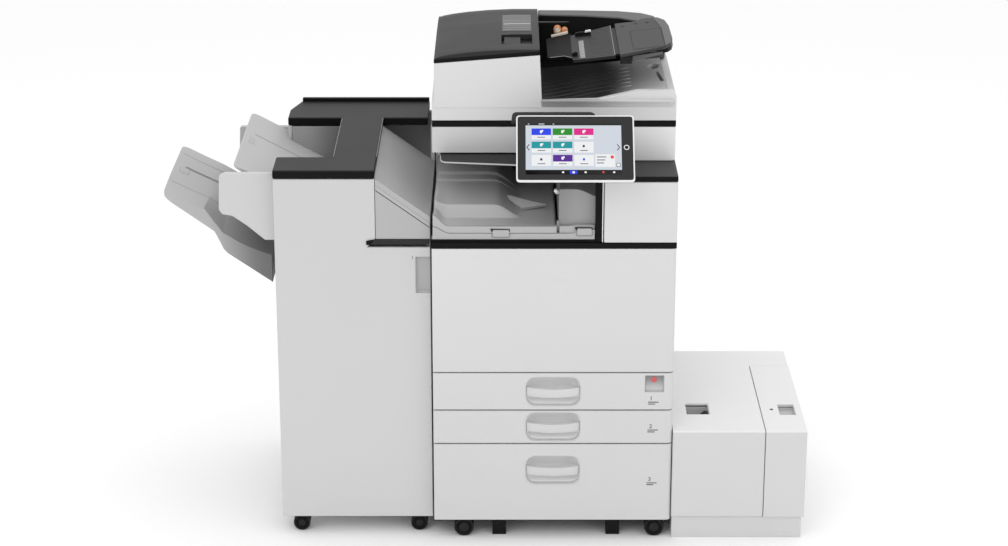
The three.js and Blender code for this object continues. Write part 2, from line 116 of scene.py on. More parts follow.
def moulded(name, colour, roughness=0.45, grain=0.06, speckle=0.03, scale=900.0, coat=0.0,
            metallic=0.0, blend=None, glow=0.0, specular=0.5):
    """Moulded plastic: a fine spark texture, faint cloudiness in colour and gloss.
    blend = (second colour, axis, start, end) turns it smoothly into a second colour along the machine's x, y or z."""
    material = bpy.data.materials.new(name)
    material.use_nodes = True
    nodes, links = material.node_tree.nodes, material.node_tree.links
    shader = nodes["Principled BSDF"]
    place = nodes.new("ShaderNodeTexCoord")
    fine = nodes.new("ShaderNodeTexNoise")
    fine.inputs["Scale"].default_value = scale
    fine.inputs["Detail"].default_value = 3.0
    broad = nodes.new("ShaderNodeTexNoise")
    broad.inputs["Scale"].default_value = 3.5
    broad.inputs["Detail"].default_value = 2.0
    links.new(place.outputs["Object"], fine.inputs["Vector"])
    links.new(place.outputs["Object"], broad.inputs["Vector"])

    def mixed(factor, first, second):
        mix = nodes.new("ShaderNodeMix")
        mix.data_type = "RGBA"
        links.new(factor, mix.inputs["Factor"])
        for socket, value in (("A", first), ("B", second)):
            if isinstance(value, tuple):
                mix.inputs[socket].default_value = (*value, 1.0)
            else:
                links.new(value, mix.inputs[socket])
        return mix.outputs["Result"]

    share = nodes.new("ShaderNodeMath")
    share.operation = "MULTIPLY_ADD"
    share.inputs[1].default_value = 0.35
    links.new(fine.outputs["Fac"], share.inputs[0])
    half = nodes.new("ShaderNodeMath")
    half.operation = "MULTIPLY"
    half.inputs[1].default_value = 0.65
    links.new(broad.outputs["Fac"], half.inputs[0])
    links.new(half.outputs[0], share.inputs[2])

    def tinted(shade):
        dark = tuple(c * (1 - speckle) for c in shade)
        light = tuple(min(1.0, c * (1 + speckle)) for c in shade)
        return mixed(share.outputs[0], dark, light)

    tint = tinted(colour)
    if blend:
        second, axis, start, end = blend
        split = nodes.new("ShaderNodeSeparateXYZ")
        links.new(place.outputs["Object"], split.inputs[0])
        ramp = nodes.new("ShaderNodeMapRange")
        ramp.interpolation_type = "SMOOTHSTEP"
        first = ORIGIN["xyz".index(axis)]
        ramp.inputs["From Min"].default_value = first + start * MM
        ramp.inputs["From Max"].default_value = first + end * MM
        links.new(split.outputs["XYZ".index(axis.upper())], ramp.inputs["Value"])
        tint = mixed(ramp.outputs["Result"], tint, tinted(second))
    if not glow:
        links.new(tint, shader.inputs["Base Color"])
    if glow:
        links.new(tint, shader.inputs["Emission Color"])
        shader.inputs["Emission Strength"].default_value = glow
        shader.inputs["Base Color"].default_value = (0.02, 0.02, 0.02, 1.0)
    gloss = nodes.new("ShaderNodeMapRange")
    gloss.inputs["To Min"].default_value = max(0.02, roughness - 0.06)
    gloss.inputs["To Max"].default_value = roughness + 0.06
    links.new(broad.outputs["Fac"], gloss.inputs["Value"])
    links.new(gloss.outputs["Result"], shader.inputs["Roughness"])
    bump = nodes.new("ShaderNodeBump")
    bump.inputs["Strength"].default_value = grain
    bump.inputs["Distance"].default_value = 0.0004
    links.new(fine.outputs["Fac"], bump.inputs["Height"])
    links.new(bump.outputs["Normal"], shader.inputs["Normal"])
    shader.inputs["Coat Weight"].default_value = coat
    shader.inputs["Metallic"].default_value = metallic
    shader.inputs["Specular IOR Level"].default_value = specular
    return material


def lit(name, colour, glow=0.92):
    """A patch of a lit display: it glows evenly, under gloss."""
    return moulded(name, colour, roughness=0.2, grain=0.0, speckle=0.015, scale=300.0, glow=glow, specular=0.1)


# The white covers turn lighter towards the top: painted light, as if lit from above.
WHITE = moulded("white_cover", (0.605, 0.605, 0.607), blend=((0.66, 0.66, 0.662), "z", 150.0, 950.0))
RIM = moulded("white_rim", (0.80, 0.80, 0.80), roughness=0.35, grain=0.03)
PALE = moulded("pale_part", (0.43, 0.43, 0.432))
# The tray floor turns darker towards the rear: painted shade under the scanner.
FLOOR = moulded("tray_floor", (0.60, 0.60, 0.602), blend=((0.30, 0.30, 0.302), "y", 180.0, 430.0))
GAUGE = moulded("gauge_grey", (0.55, 0.55, 0.552), blend=((0.24, 0.24, 0.242), "z", 395.0, 430.0))
# The grip cups are the covers' white plastic in a brighter tone: painted light inside the cups.
CUP = moulded("grip_cup_painted_light", (0.86, 0.86, 0.862))
# The shift tray turns darker towards the finisher: painted shade under the exit cheeks.
SHIFT = moulded("shift_tray_painted_shade", (0.44, 0.44, 0.442), blend=((0.16, 0.16, 0.162), "x", -860.0, -700.0))
OFF_WHITE = moulded("finisher_white", (0.585, 0.585, 0.587), blend=((0.565, 0.565, 0.567), "z", 300.0, 950.0))
SLOPE = moulded("slope_grey", (0.42, 0.42, 0.422))
GREY = moulded("grey_tray", (0.27, 0.27, 0.272))
TRAY = moulded("light_tray", (0.47, 0.47, 0.472))
DARK = moulded("dark_trim", (0.019, 0.019, 0.0194), roughness=0.5, grain=0.14, speckle=0.06, specular=0.25)
EXTENSION = moulded("tray_extension", (0.033, 0.033, 0.0335), roughness=0.5, grain=0.14, speckle=0.06,
    specular=0.3)
PLATE = moulded("tray_plate", (0.012, 0.012, 0.0124), roughness=0.45, grain=0.12, speckle=0.06, specular=0.18)
STEP = moulded("tray_step", (0.003, 0.003, 0.0031), roughness=0.5, grain=0.05, specular=0.05)
ARM = moulded("arm_grey", (0.10, 0.10, 0.102), roughness=0.5, grain=0.14, speckle=0.06, specular=0.35)
STRIP = moulded("black_strip", (0.006, 0.006, 0.0063), roughness=0.35, grain=0.08, specular=0.09)
BLACK = moulded("black_part", (0.007, 0.007, 0.0073), roughness=0.42, specular=0.12)
STEEL = moulded("frame_steel", (0.40, 0.40, 0.41), roughness=0.35, metallic=0.7)
WELL = moulded("well_liner", (0.030, 0.030, 0.0305), roughness=0.5, specular=0.2)
# Grey turning darker towards the right: painted shade on the finisher well's rear wall.
WELL_WALL = moulded("well_wall_painted_shade", (0.33, 0.33, 0.332), blend=((0.16, 0.16, 0.162), "x", -640.0, -540.0))
RUBBER = moulded("wheel_rubber", (0.014, 0.014, 0.0145), roughness=0.6, grain=0.25, scale=500.0, specular=0.25)
ROLLER = moulded("roller_rubber", (0.62, 0.27, 0.13), roughness=0.7, grain=0.3, scale=1400.0)
IVORY = moulded("ivory_part", (0.66, 0.60, 0.52), roughness=0.5)
PLATEN = moulded("platen", (0.035, 0.045, 0.045), roughness=0.07, grain=0.0, coat=1.0)
PAD = moulded("platen_pad", (0.72, 0.72, 0.71), roughness=0.8, grain=0.3, scale=1600.0)
# The dark left end is the exit tray's own colour; the slow fade from it to light grey across x 120 to 235 is painted
# shade.
EXIT_TRAY = moulded("exit_tray_blend", (0.026, 0.026, 0.0265), roughness=0.4, specular=0.3,
                    blend=((0.56, 0.56, 0.562), "x", 120.0, 235.0))
UNIT = moulded("exit_unit_grey", (0.27, 0.27, 0.272), blend=((0.33, 0.33, 0.332), "x", 11.0, 60.0))
# The lip roll is white plastic coloured grey, darker towards the left: painted shade under the overhanging lip.
ROLL = moulded("lip_roll_painted_shade", (0.36, 0.36, 0.362), blend=((0.60, 0.60, 0.602), "x", 40.0, 200.0))
CAP = moulded("cap_dark", (0.036, 0.036, 0.0365), roughness=0.5, grain=0.14, speckle=0.06, specular=0.25)
# The scanner's white turns lighter towards the right: painted light.
SCANNER = moulded("scanner_white", (0.61, 0.61, 0.612), blend=((0.80, 0.80, 0.802), "x", 60.0, 220.0))
# The magazine's white turns lighter on its top face: painted light from above.
MAGAZINE = moulded("magazine_white", (0.62, 0.62, 0.622), blend=((0.80, 0.80, 0.802), "z", 284.0, 289.0))
# The ribs follow the exit tray: a dark left end in their own colour, fading into light grey through painted shade.
RIB = moulded("exit_rib_blend", (0.045, 0.045, 0.046), roughness=0.4, specular=0.3,
              blend=((0.60, 0.60, 0.602), "x", 150.0, 205.0))
TONERS = [
    moulded(f"toner_{shade}", colour, roughness=0.35, grain=0.05)
    for shade, colour in (
        ("black", (0.02, 0.02, 0.022)), ("cyan", (0.01, 0.30, 0.55)),
        ("magenta", (0.58, 0.02, 0.22)), ("yellow", (0.75, 0.55, 0.02)),
    )
]
GLASS = moulded("screen_glass", (0.010, 0.010, 0.012), roughness=0.10, grain=0.0, specular=0.3)
MATERIALS = {
    "white_cover": WHITE, "pale_part": PALE, "grey_tray": GREY, "dark_trim": DARK, "black_part": BLACK,
    "frame_steel": STEEL, "wheel_rubber": RUBBER, "roller_rubber": ROLLER, "platen": PLATEN, "screen": GLASS,
    "toner_black": TONERS[0], "toner_cyan": TONERS[1], "toner_magenta": TONERS[2], "toner_yellow": TONERS[3],
}


# ---------------------------------------------------------------- shapes, in the machine's millimetres

def smooth_shading_group():
    group = bpy.data.node_groups.new("smooth_faces", "GeometryNodeTree")
    group.interface.new_socket("Geometry", in_out="INPUT", socket_type="NodeSocketGeometry")
    group.interface.new_socket("Geometry", in_out="OUTPUT", socket_type="NodeSocketGeometry")
    entry = group.nodes.new("NodeGroupInput")
    shade = group.nodes.new("GeometryNodeSetShadeSmooth")
    leave = group.nodes.new("NodeGroupOutput")
    group.links.new(entry.outputs[0], shade.inputs["Geometry"])
    group.links.new(shade.outputs["Geometry"], leave.inputs[0])
    return group


SMOOTH = smooth_shading_group()


def soften(obj, width, segments=2, angle=32.0, weld=False):
    """Rounded edges in real geometry, with the flat faces kept flat."""
    if weld:
        obj.modifiers.new("weld", "WELD").merge_threshold = 0.00002
        merge = obj.modifiers.new("merge", "DECIMATE")
        merge.decimate_type = "DISSOLVE"
        merge.angle_limit = math.radians(0.6)
    shade = obj.modifiers.new("shade", "NODES")
    shade.node_group = SMOOTH
    if width > 0:
        bevel = obj.modifiers.new("bevel", "BEVEL")
        bevel.width = width * MM
        bevel.segments = segments
        bevel.limit_method = "ANGLE"
        bevel.angle_limit = math.radians(angle)
        bevel.use_clamp_overlap = True
    weights = obj.modifiers.new("weights", "WEIGHTED_NORMAL")
    weights.weight = 50
    weights.keep_sharp = False


def new_object(name, verts, faces):
    mesh = bpy.data.meshes.new(name)
    mesh.from_pydata([at(*v) for v in verts], [], faces)
    builder = bmesh.new()
    builder.from_mesh(mesh)
    bmesh.ops.recalc_face_normals(builder, faces=builder.faces)
    builder.to_mesh(mesh)
    builder.free()
    obj = bpy.data.objects.new(name, mesh)
    bpy.context.collection.objects.link(obj)
    return obj


def carve(obj, cuts, operation="DIFFERENCE"):
    for index, (verts, faces) in enumerate(cuts):
        tool = new_object("cutter", verts, faces)
        cut = obj.modifiers.new("cut", "BOOLEAN")
        cut.operation = operation
        cut.solver = "EXACT"
        cut.object = tool
        shape = bpy.data.meshes.new_from_object(obj.evaluated_get(bpy.context.evaluated_depsgraph_get()))
        obj.modifiers.remove(cut)
        old = obj.data
        obj.data = shape
        shape.name = obj.name
        bpy.data.meshes.remove(old)
        bpy.data.objects.remove(tool)


def piece(name, shape, body, slot, material, bevel=0.6, segments=2, replaces=(), cuts=(), adds=(), angle=32.0):
    verts, faces = shape
    obj = new_object(name, verts, faces)
    carve(obj, adds, "UNION")
    carve(obj, cuts)
    obj.data.materials.clear()
    obj.data.materials.append(material)
    soften(obj, bevel, segments, angle)
    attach(obj, body)
    if replaces:
        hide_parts(*replaces)
    return obj


def rounded(outline, radius, steps=5):
    """The outline with its corners turned into arcs; radius is one number, or one for each corner."""
    count = len(outline)
    radii = [radius] * count if isinstance(radius, (int, float)) else list(radius)
    made = []
    for i, corner in enumerate(outline):
        here = Vector(corner)
        before = Vector(outline[i - 1]) - here
        after = Vector(outline[(i + 1) % count]) - here
        half = before.angle(after, math.pi) / 2
        r = radii[i]
        if r <= 0 or half > math.radians(88):
            made.append(tuple(here))
            continue
        back = min(r / math.tan(half), before.length * 0.96, after.length * 0.96)
        start, end = here + before.normalized() * back, here + after.normalized() * back
        for k in range(steps + 1):
            t = k / steps
            made.append(tuple(start * (1 - t) ** 2 + here * 2 * t * (1 - t) + end * t * t))
    return made


def rect(x0, y0, x1, y1, r=0.0, steps=5):
    return rounded([(x0, y0), (x1, y0), (x1, y1), (x0, y1)], r, steps)


def plain(x, y, z):
    return (x, y, z)


AXES = {"xy": lambda a, b, c: (a, b, c), "xz": lambda a, b, c: (a, c, b), "yz": lambda a, b, c: (c, a, b)}


def prism(outline, plane, low, high, place=plain):
    """An outline in the plane xy, xz or yz, pushed out along the third axis."""
    order, count = AXES[plane], len(outline)
    verts = [place(*order(a, b, c)) for c in (low, high) for a, b in outline]
    sides = [(i, (i + 1) % count, count + (i + 1) % count, count + i) for i in range(count)]
    return verts, [tuple(range(count)), tuple(range(count, 2 * count)), *sides]


def block(x0, y0, z0, x1, y1, z1, place=plain):
    return prism(rect(x0, y0, x1, y1), "xy", z0, z1, place)


def grid(us, vs, front, back):
    """A closed body between two surfaces, each a function of (u, v)."""
    rows, columns = len(us), len(vs)
    verts = [side(u, v) for side in (front, back) for u in us for v in vs]
    size = rows * columns
    faces = []
    for i in range(rows - 1):
        for j in range(columns - 1):
            a = i * columns + j
            quad = (a, a + 1, a + columns + 1, a + columns)
            faces += [quad, tuple(k + size for k in quad)]
    edge = [j for j in range(columns)] + [i * columns + columns - 1 for i in range(1, rows)]
    edge += [(rows - 1) * columns + j for j in range(columns - 2, -1,
        -1)] + [i * columns for i in range(rows - 2, 0, -1)]
    for k, a in enumerate(edge):
        b = edge[(k + 1) % len(edge)]
        faces.append((a, b, b + size, a + size))
    return verts, faces


SCREW_HEAD = [(0, 3.0), (1.6, 5.2), (2.4, 5.0), (2.6, 2.2), (1.4, 1.8)]


def lathe(centre, axis, profile, steps=32, place=plain):
    """A turned body. The profile is (distance along the axis, radius), from one end to the other."""
    verts, faces = [], []
    for along, radius in profile:
        for k in range(steps):
            turn = 2 * math.pi * k / steps
            a, b = radius * math.cos(turn), radius * math.sin(turn)
            spot = {"x": (along, a, b), "y": (a, along, b), "z": (a, b, along)}[axis]
            verts.append(place(*(c + s for c, s in zip(centre, spot))))
    for i in range(len(profile) - 1):
        for k in range(steps):
            n = (k + 1) % steps
            faces.append((i * steps + k, i * steps + n, (i + 1) * steps + n, (i + 1) * steps + k))
    last = (len(profile) - 1) * steps
    return verts, [tuple(range(steps)), tuple(range(last, last + steps)), *faces]


def tube(path, radius, steps=10, place=plain, squash=1.0):
    """A round bar along a path of points; squash flattens it in height."""
    points = [Vector(p) for p in path]
    verts, faces = [], []
    for i, here in enumerate(points):
        along = (points[min(i + 1, len(points) - 1)] - points[max(i - 1, 0)]).normalized()
        side = along.cross(Vector((0, 0, 1)))
        side = side.normalized() if side.length > 1e-4 else Vector((1, 0, 0))
        rise = side.cross(along)
        for k in range(steps):
            turn = 2 * math.pi * k / steps
            verts.append(place(*(here + side * radius * math.cos(turn) + rise * radius * squash * math.sin(turn))))
    for i in range(len(points) - 1):
        for k in range(steps):
            n = (k + 1) % steps
            faces.append((i * steps + k, i * steps + n, (i + 1) * steps + n, (i + 1) * steps + k))
    last = (len(points) - 1) * steps
    return verts, [tuple(range(steps)), tuple(range(last, last + steps)), *faces]


def spread(low, high, count, *extra):
    """Evenly spaced numbers, with the extra ones put in."""
    return sorted({round(low + (high - low) * k / count, 4) for k in range(count + 1)} | set(extra))


def ease(value, start, end):
    t = min(1.0, max(0.0, (value - start) / (end - start)))
    return t * t * (3 - 2 * t)


def along(points, x):
    """The height of a line of (x, z) points at x."""
    for (x0, z0), (x1, z1) in zip(points, points[1:]):
        if x <= x1:
            return z0 + (z1 - z0) * max(0.0, (x - x0) / (x1 - x0))
    return points[-1][1]


def numeral(name, digit, x, z, height, body):
    curve = bpy.data.curves.new(name, "FONT")
    curve.body = digit
    curve.size = height * MM
    curve.extrude = 0.00012
    flat = bpy.data.objects.new(name + "_text", curve)
    flat.rotation_euler = (math.pi / 2, 0, 0)
    flat.location = at(x, -0.1, z)
    bpy.context.collection.objects.link(flat)
    bpy.context.view_layer.update()
    mesh = bpy.data.meshes.new_from_object(flat.evaluated_get(bpy.context.evaluated_depsgraph_get()))
    mesh.transform(flat.matrix_world)
    bpy.data.objects.remove(flat)
    mesh.name = name
    obj = bpy.data.objects.new(name, mesh)
    bpy.context.collection.objects.link(obj)
    obj.data.materials.clear()
    obj.data.materials.append(BLACK)
    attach(obj, body)
    return obj


# ---------------------------------------------------------------- the CAD's own pieces, with rounded edges

EDGE = {
    "tower_cap": 1.5, "finisher_top_cover": 3.5, "finisher_door": 2.0, "finisher_housing": 1.5,
    "magazine_cover": 4.0, "magazine_hatch": 2.0, "magazine_base": 1.5, "scanner_housing": 2.0,
    "feeder_base": 3.0, "feeder_housing": 2.0, "feeder_rear_arm": 4.0, "exit_cover": 2.5, "panel_housing": 2.5,
    "tower_cover": 2.5, "platen_glass": 0.3, "home_key": 0.5, "shift_tray": 1.2, "upper_tray": 1.2,
    "front_trim": 0.8, "scanner_frame": 1.0, "feeder_hinge": 2.0, "power_inlet": 1.0,
}
LOOK = {
    "front_trim": STRIP, "scanner_frame": STRIP, "base_frame": BLACK, "finisher_slope_cover": SLOPE,
    "inner_cover": PALE, "panel_arm": DARK, "tower_cap": CAP, "scanner_housing": SCANNER,
    "magazine_cover": MAGAZINE, "magazine_hatch": MAGAZINE, "finisher_door": OFF_WHITE,
        "finisher_housing": OFF_WHITE, "front_guide": DARK, "rear_guide": DARK, "feeder_rear_arm": ARM,
}
for part in frame["record"]["subparts"]:
    node = frame["nodes"][part["node"]]
    node.data.materials.clear()
    node.data.materials.append(LOOK.get(part["node"], MATERIALS[part["material_slot"]]))
    soften(node, EDGE.get(part["node"], 0.8), weld=True)


# ---------------------------------------------------------------- front door and paper trays

BODY_X = 293.5
FRONT_PLAN = rounded([(-BODY_X, 0), (BODY_X, 0), (BODY_X, 15), (-BODY_X, 15)], [4, 14, 0, 0], 6)


def front_panel(name, body, z0, z1, cuts=(), adds=(), replaces=()):
    return piece(name, prism(FRONT_PLAN, "xy", z0, z1), body, "white_cover", WHITE, bevel=0.9,
                 replaces=replaces, cuts=cuts, adds=adds)


front_panel("front_door_panel", "front_door", 446, 763, replaces=("front_door",))
piece("nameplate_blank", prism(rect(-36, 641, 34, 684, 1.5), "xz", -0.5, 0.3), "front_door", "white_cover",
    WHITE,
      bevel=0.3)

WINDOW_HALF = 66.0
WINDOW_TALL = 74.0


def grip(number, z_low):
    """A hand hold: a cup behind a soft-edged window, with a bowed bar across it."""
    body = f"tray_{number}"
    z_mid = z_low + WINDOW_TALL / 2

    def depth(x, z):
        u = abs(x) / WINDOW_HALF
        w = abs(z - z_mid) / (WINDOW_TALL / 2)
        return max(0.0, 1 - max(u, 0.0) ** 6) * max(0.0,
            1 - w ** 4) * (1.0 if z > z_mid else 0.55 + 0.45 * (1 - w))

    cup = grid(
        spread(-74, 74, 37), spread(z_low - 5, z_low + WINDOW_TALL + 5, 21),
        lambda x, z: (x, 15.1 + 28 * depth(x, z), z), lambda x, z: (x, 46.5, z),
    )
    piece(f"{body}_grip_cup", cup, body, "white_cover", CUP, bevel=0)

    def bow(x):
        return 1 - (x / WINDOW_HALF) ** 2

    def bar_height(x, t):
        return z_low + 22 - 2 * bow(x) + (25 - 2 * bow(x)) * t

    def bar_front(x, t):
        return (x, 6 - 7.5 * bow(x) + 3 * (1 - t) ** 4, bar_height(x, t))

    def bar_back(x, t):
        return (x, 13, bar_height(x, t) + 2 * bow(x) * t)

    bar = grid(spread(-WINDOW_HALF + 1.2, WINDOW_HALF - 1.2, 28), spread(0, 1, 8), bar_front, bar_back)
    piece(f"{body}_grip_bar", bar, body, "white_cover", WHITE, bevel=0.8)


for number, (z0, z1, z_low) in ((3, (51, 255, 148)), (2, (258.5, 344, 264)), (1, (347.5, 443, 357))):
    hole = prism(rect(-WINDOW_HALF, z_low, WINDOW_HALF, z_low + WINDOW_TALL, 27, 8), "xz", -5, 20)
    flare = [
        prism(rect(-WINDOW_HALF - d, z_low - d, WINDOW_HALF + d, z_low + WINDOW_TALL + d, 27 + d, 8), "xz", -5,
            y)
        for d, y in ((1.5, 2.2), (3.0, 0.8))
    ]
    cuts = [hole, *flare]
    if number == 1:
        cuts.append(prism(rect(224, 393, 271, 437, 1.0), "xz", -5, 8))
    front_panel(f"tray_{number}_panel", f"tray_{number}", z0, z1, cuts=cuts, replaces=(f"tray_{number}_front",))
    grip(number, z_low)
for digit, z in (("1", 372), ("2", 298), ("3", 156)):
    numeral(f"tray_{digit}_numeral", digit, 236, z, 15.0, f"tray_{digit}")
    for row, width in ((0, 26), (1, 18)):
        piece(f"tray_{digit}_mark_{row}", prism(rect(232, z - 6 - 5 * row, 232 + width, z - 4 - 5 * row, 0.8),
            "xz",
              -0.25, 0.1), f"tray_{digit}", "black_part", BLACK, bevel=0)
piece("tray_1_gauge", prism(rect(226, 395, 269, 435, 1.0), "xz", 6.8, 9.0), "tray_1", "grey_tray", GAUGE,
    bevel=0.4)
piece("tray_1_gauge_dot", lathe((246, 0, 424), "y", [(6.2, 6.5), (6.0, 7.2), (7.2, 7.6)], 28), "tray_1",
      "grey_tray", moulded("gauge_red", (0.62, 0.10, 0.11), roughness=0.35), bevel=0)


# ---------------------------------------------------------------- output tray and exit unit

TRAY_LEFT, TRAY_RIGHT = -290.5, 6.0


def fall(x, start, end):
    return 1 - ease(x, start, end)


def tray_top(x, y):
    """The stacking surface: a raised left plateau in three steps that run out to the right."""
    z = 801.5
    z += 31 * ease(y, 118, 132) * fall(x, -144, -72)
    z += 6 * ease(y, 318, 322) * fall(x, -170, -70)
    z += 8 * ease(y, 357, 361) * fall(x, -170, -50)
    curl = ease(-x, 252, 291)
    z += (34 - 20 * ease(y, 118, 132)) * curl * curl * fall(y, 60, 300)
    return min(z, 852.0)


def lip_top(x):
    return 816 + 28 * ease(-x, 250, 291) ** 1.3


def tray_surface(x, y):
    front = ease(y, 24, 40)
    return (x, y, lip_top(x) * (1 - front) + (tray_top(x, y)) * front if y < 40 else tray_top(x, y))


piece("output_tray_shell",
      grid(spread(TRAY_LEFT, TRAY_RIGHT, 46), spread(24, 498, 40, 28, 32, 120, 123, 126, 129, 132, 134, 318,
          319, 320, 321, 322, 357, 358, 359, 360, 361),
           lambda x, y: tray_surface(x, y), lambda x, y: (x, y, 784.6)),
      "cabinet", "grey_tray", FLOOR, bevel=0, replaces=("output_tray",))
piece("output_tray_lip",
      grid(spread(TRAY_LEFT, TRAY_RIGHT, 60), spread(0, 1, 4),
           lambda x, t: (x, 24, lip_top(x) * t + (799.6 + 17 * ease(-x, 250, 292)) * (1 - t)),
           lambda x, t: (x, 9.5 + 1.2 * t, lip_top(x) * t + (799.6 + 17 * ease(-x, 250, 292)) * (1 - t))),
      "cabinet", "pale_part", PALE, bevel=1.4)
piece("output_tray_sill",
      grid(spread(TRAY_LEFT, 97, 60), spread(0, 1, 3),
           lambda x, t: (x, 23.9, 784.4 * (1 - t) + (798.9 + 17 * ease(-x, 250, 292) + 9 * ease(x, 40,
               68)) * t),
           lambda x, t: (x, 8.2, 784.4 * (1 - t) + (798.9 + 17 * ease(-x, 250, 292) + 9 * ease(x, 40,
               68)) * t)),
      "cabinet", "pale_part", PALE, bevel=0.9)
for x0, x1, high in ((-150, -107, 812), (52, 91, 816)):
    shift = high - 812
    piece(f"tray_latch_{'left' if x0 < 0 else 'right'}",
          prism(rect(x0 + 3, 791 + shift, x1 - 1, 808 + shift, 3.5), "xz", 7.2, 10.5),
          "cabinet", "pale_part", PALE, bevel=0.8)
    piece(f"tray_latch_line_{'left' if x0 < 0 else 'right'}",
          tube([(x0 + 1, 7.0, 801 + shift), (x0 + 1, 7.0, 792 + shift), (x0 + 4, 7.0, 789.4 + shift),
                (x1 - 2, 7.0, 789.4 + shift), (x1 + 1, 7.0, 792 + shift), (x1 + 1, 7.0, 801 + shift)], 0.7, 6),
          "cabinet", "grey_tray", GREY, bevel=0)
    piece(f"tray_latch_slot_{'left' if x0 < 0 else 'right'}",
          prism(rounded([(x0, 803 + shift), (x1 + 1, 803 + shift), (x1 + 1, 810 + shift), (x0 - 4,
              811 + shift)], 2),
                "xz", 8.9, 10.9), "cabinet", "dark_trim", WELL, bevel=0.3)


FIN = [(-134, 262, 821), (-17, 178, 817), (-78, 172, 811), (-134, 292, 818), (-17, 206, 803), (-78, 176, 802)]
piece("paper_stop_fin", (FIN, [(0, 1, 2), (3, 5, 4), (0, 3, 4, 1), (1, 4, 5, 2), (2, 5, 3, 0)]), "cabinet",
    "pale_part",
      RIM, bevel=0.4)


def unit_top(x):
    return 905 - 20 * ease(x, 50, 113)


EXIT_OUTLINE = [(11, 800.6), (110.5, 800.6)]
EXIT_OUTLINE += [(x, unit_top(x)) for x in (110.5, 105, 98, 90, 82, 74, 66, 58, 50)] + [(14, 905), (11, 902)]
piece("exit_unit_shell", prism(EXIT_OUTLINE, "xz", 26, 498), "cabinet", "pale_part", UNIT, bevel=2.2,
      replaces=("exit_unit",))
piece("exit_unit_knob", lathe((3, 22, 901), "y", [(0, 3.2), (1, 4.2), (9, 4.2), (10, 3.2)], 20), "cabinet",
      "pale_part", RIM, bevel=0)
piece("exit_unit_knob_arm", block(2, 27, 892, 11, 33, 901), "cabinet", "pale_part", PALE, bevel=1.0)
piece("exit_unit_gap_filler", prism(rect(6.2, 800, 13, 826, 0.5), "xz", 22, 34), "cabinet", "pale_part", UNIT,
    bevel=0.5)
piece("exit_unit_foot", block(11, 9.5, 784.6, 97, 25.8, 798), "cabinet", "pale_part", PALE, bevel=0.8)
piece("exit_unit_step",
      grid(spread(12.5, 97, 24), spread(0, 1, 3),
           lambda x, t: (x, 25.8, 799.2 * (1 - t) + (815 + 3 * ease(x, 30, 60)) * t),
           lambda x, t: (x, 12 + 5 * t, 799.2 * (1 - t) + (815 + 3 * ease(x, 30, 60)) * t)),
      "cabinet", "pale_part", PALE, bevel=1.0)
piece("frame_strip", prism(rect(98, 779, 112.5, 929, 1.0), "xz", 6, 20), "cabinet", "black_part", STRIP,
    bevel=1.0)
piece("frame_strip_edge", prism(rect(114.2, 779, 116.6, 929, 0.6), "xz", 3, 20), "cabinet", "white_cover", RIM,
      bevel=0.4)
piece("cavity_rear_wall", block(-283, 500, 786, 112, 504, 962), "cabinet", "dark_trim", WELL, bevel=0.5)
GUIDE_EDGE = [(-272, 112), (-271.5, 84), (-269.5, 70), (-265, 62.5), (-258, 59), (-92, 38), (108, 16)]
piece("upper_guide", prism([*GUIDE_EDGE, (108, 118), (-272, 118)], "xy", 958.5, 963.8), "cabinet", "dark_trim",
    DARK,
      bevel=0.8)
# The pale rod along the guide's front edge is a painted highlight.
piece("upper_guide_highlight", tube([(x, y, 961.2) for x, y in GUIDE_EDGE], 2.0), "cabinet", "pale_part", PALE,
    bevel=0)


# ---------------------------------------------------------------- control panel

PANEL_SPOT = (45.0, -50.0, 1030.0)
PANEL_LEAN = math.radians(43)
COS, SIN = math.cos(PANEL_LEAN), math.sin(PANEL_LEAN)


def on_panel(x, y, z):
    return (PANEL_SPOT[0] + x, PANEL_SPOT[1] + y * COS + z * SIN, PANEL_SPOT[2] - y * SIN + z * COS)


PANEL_X, PANEL_TALL = (-136.5, 140.0), (-87.0, 85.5)


def panel_x(u):
    return PANEL_X[0] + (PANEL_X[1] - PANEL_X[0]) * u


def panel_z(v):
    return PANEL_TALL[1] - (PANEL_TALL[1] - PANEL_TALL[0]) * v


def panel_patch(name, u0, v0, u1, v1, level, material, thick=0.25, r=0.0, slot="screen", bevel=0.0):
    """A thin plate on the panel's face: u runs right and v down, both as shares of the whole panel."""
    outline = rect(panel_x(u0), panel_z(v1), panel_x(u1), panel_z(v0), r, 3)
    return piece(name, prism(outline, "xz", level - thick, level, on_panel), "panel", slot, material,
        bevel=bevel)


piece("panel_frame", prism(rect(PANEL_X[0], PANEL_TALL[0], PANEL_X[1], PANEL_TALL[1], 9, 6), "xz", 0, 7,
    on_panel),
      "panel", "white_cover", RIM, bevel=1.6, segments=3, replaces=("panel_housing", "panel_screen"))
piece("panel_rear_case", prism(rect(PANEL_X[0] + 5, -70, PANEL_X[1] - 5, 80, 12, 5), "xz", 6.5, 19, on_panel),
    "panel",
      "white_cover", WHITE, bevel=3.0, segments=3)
piece("panel_rear_block", block(-60, 19, -40, 60, 34, 60, on_panel), "panel", "dark_trim", DARK, bevel=3.0)


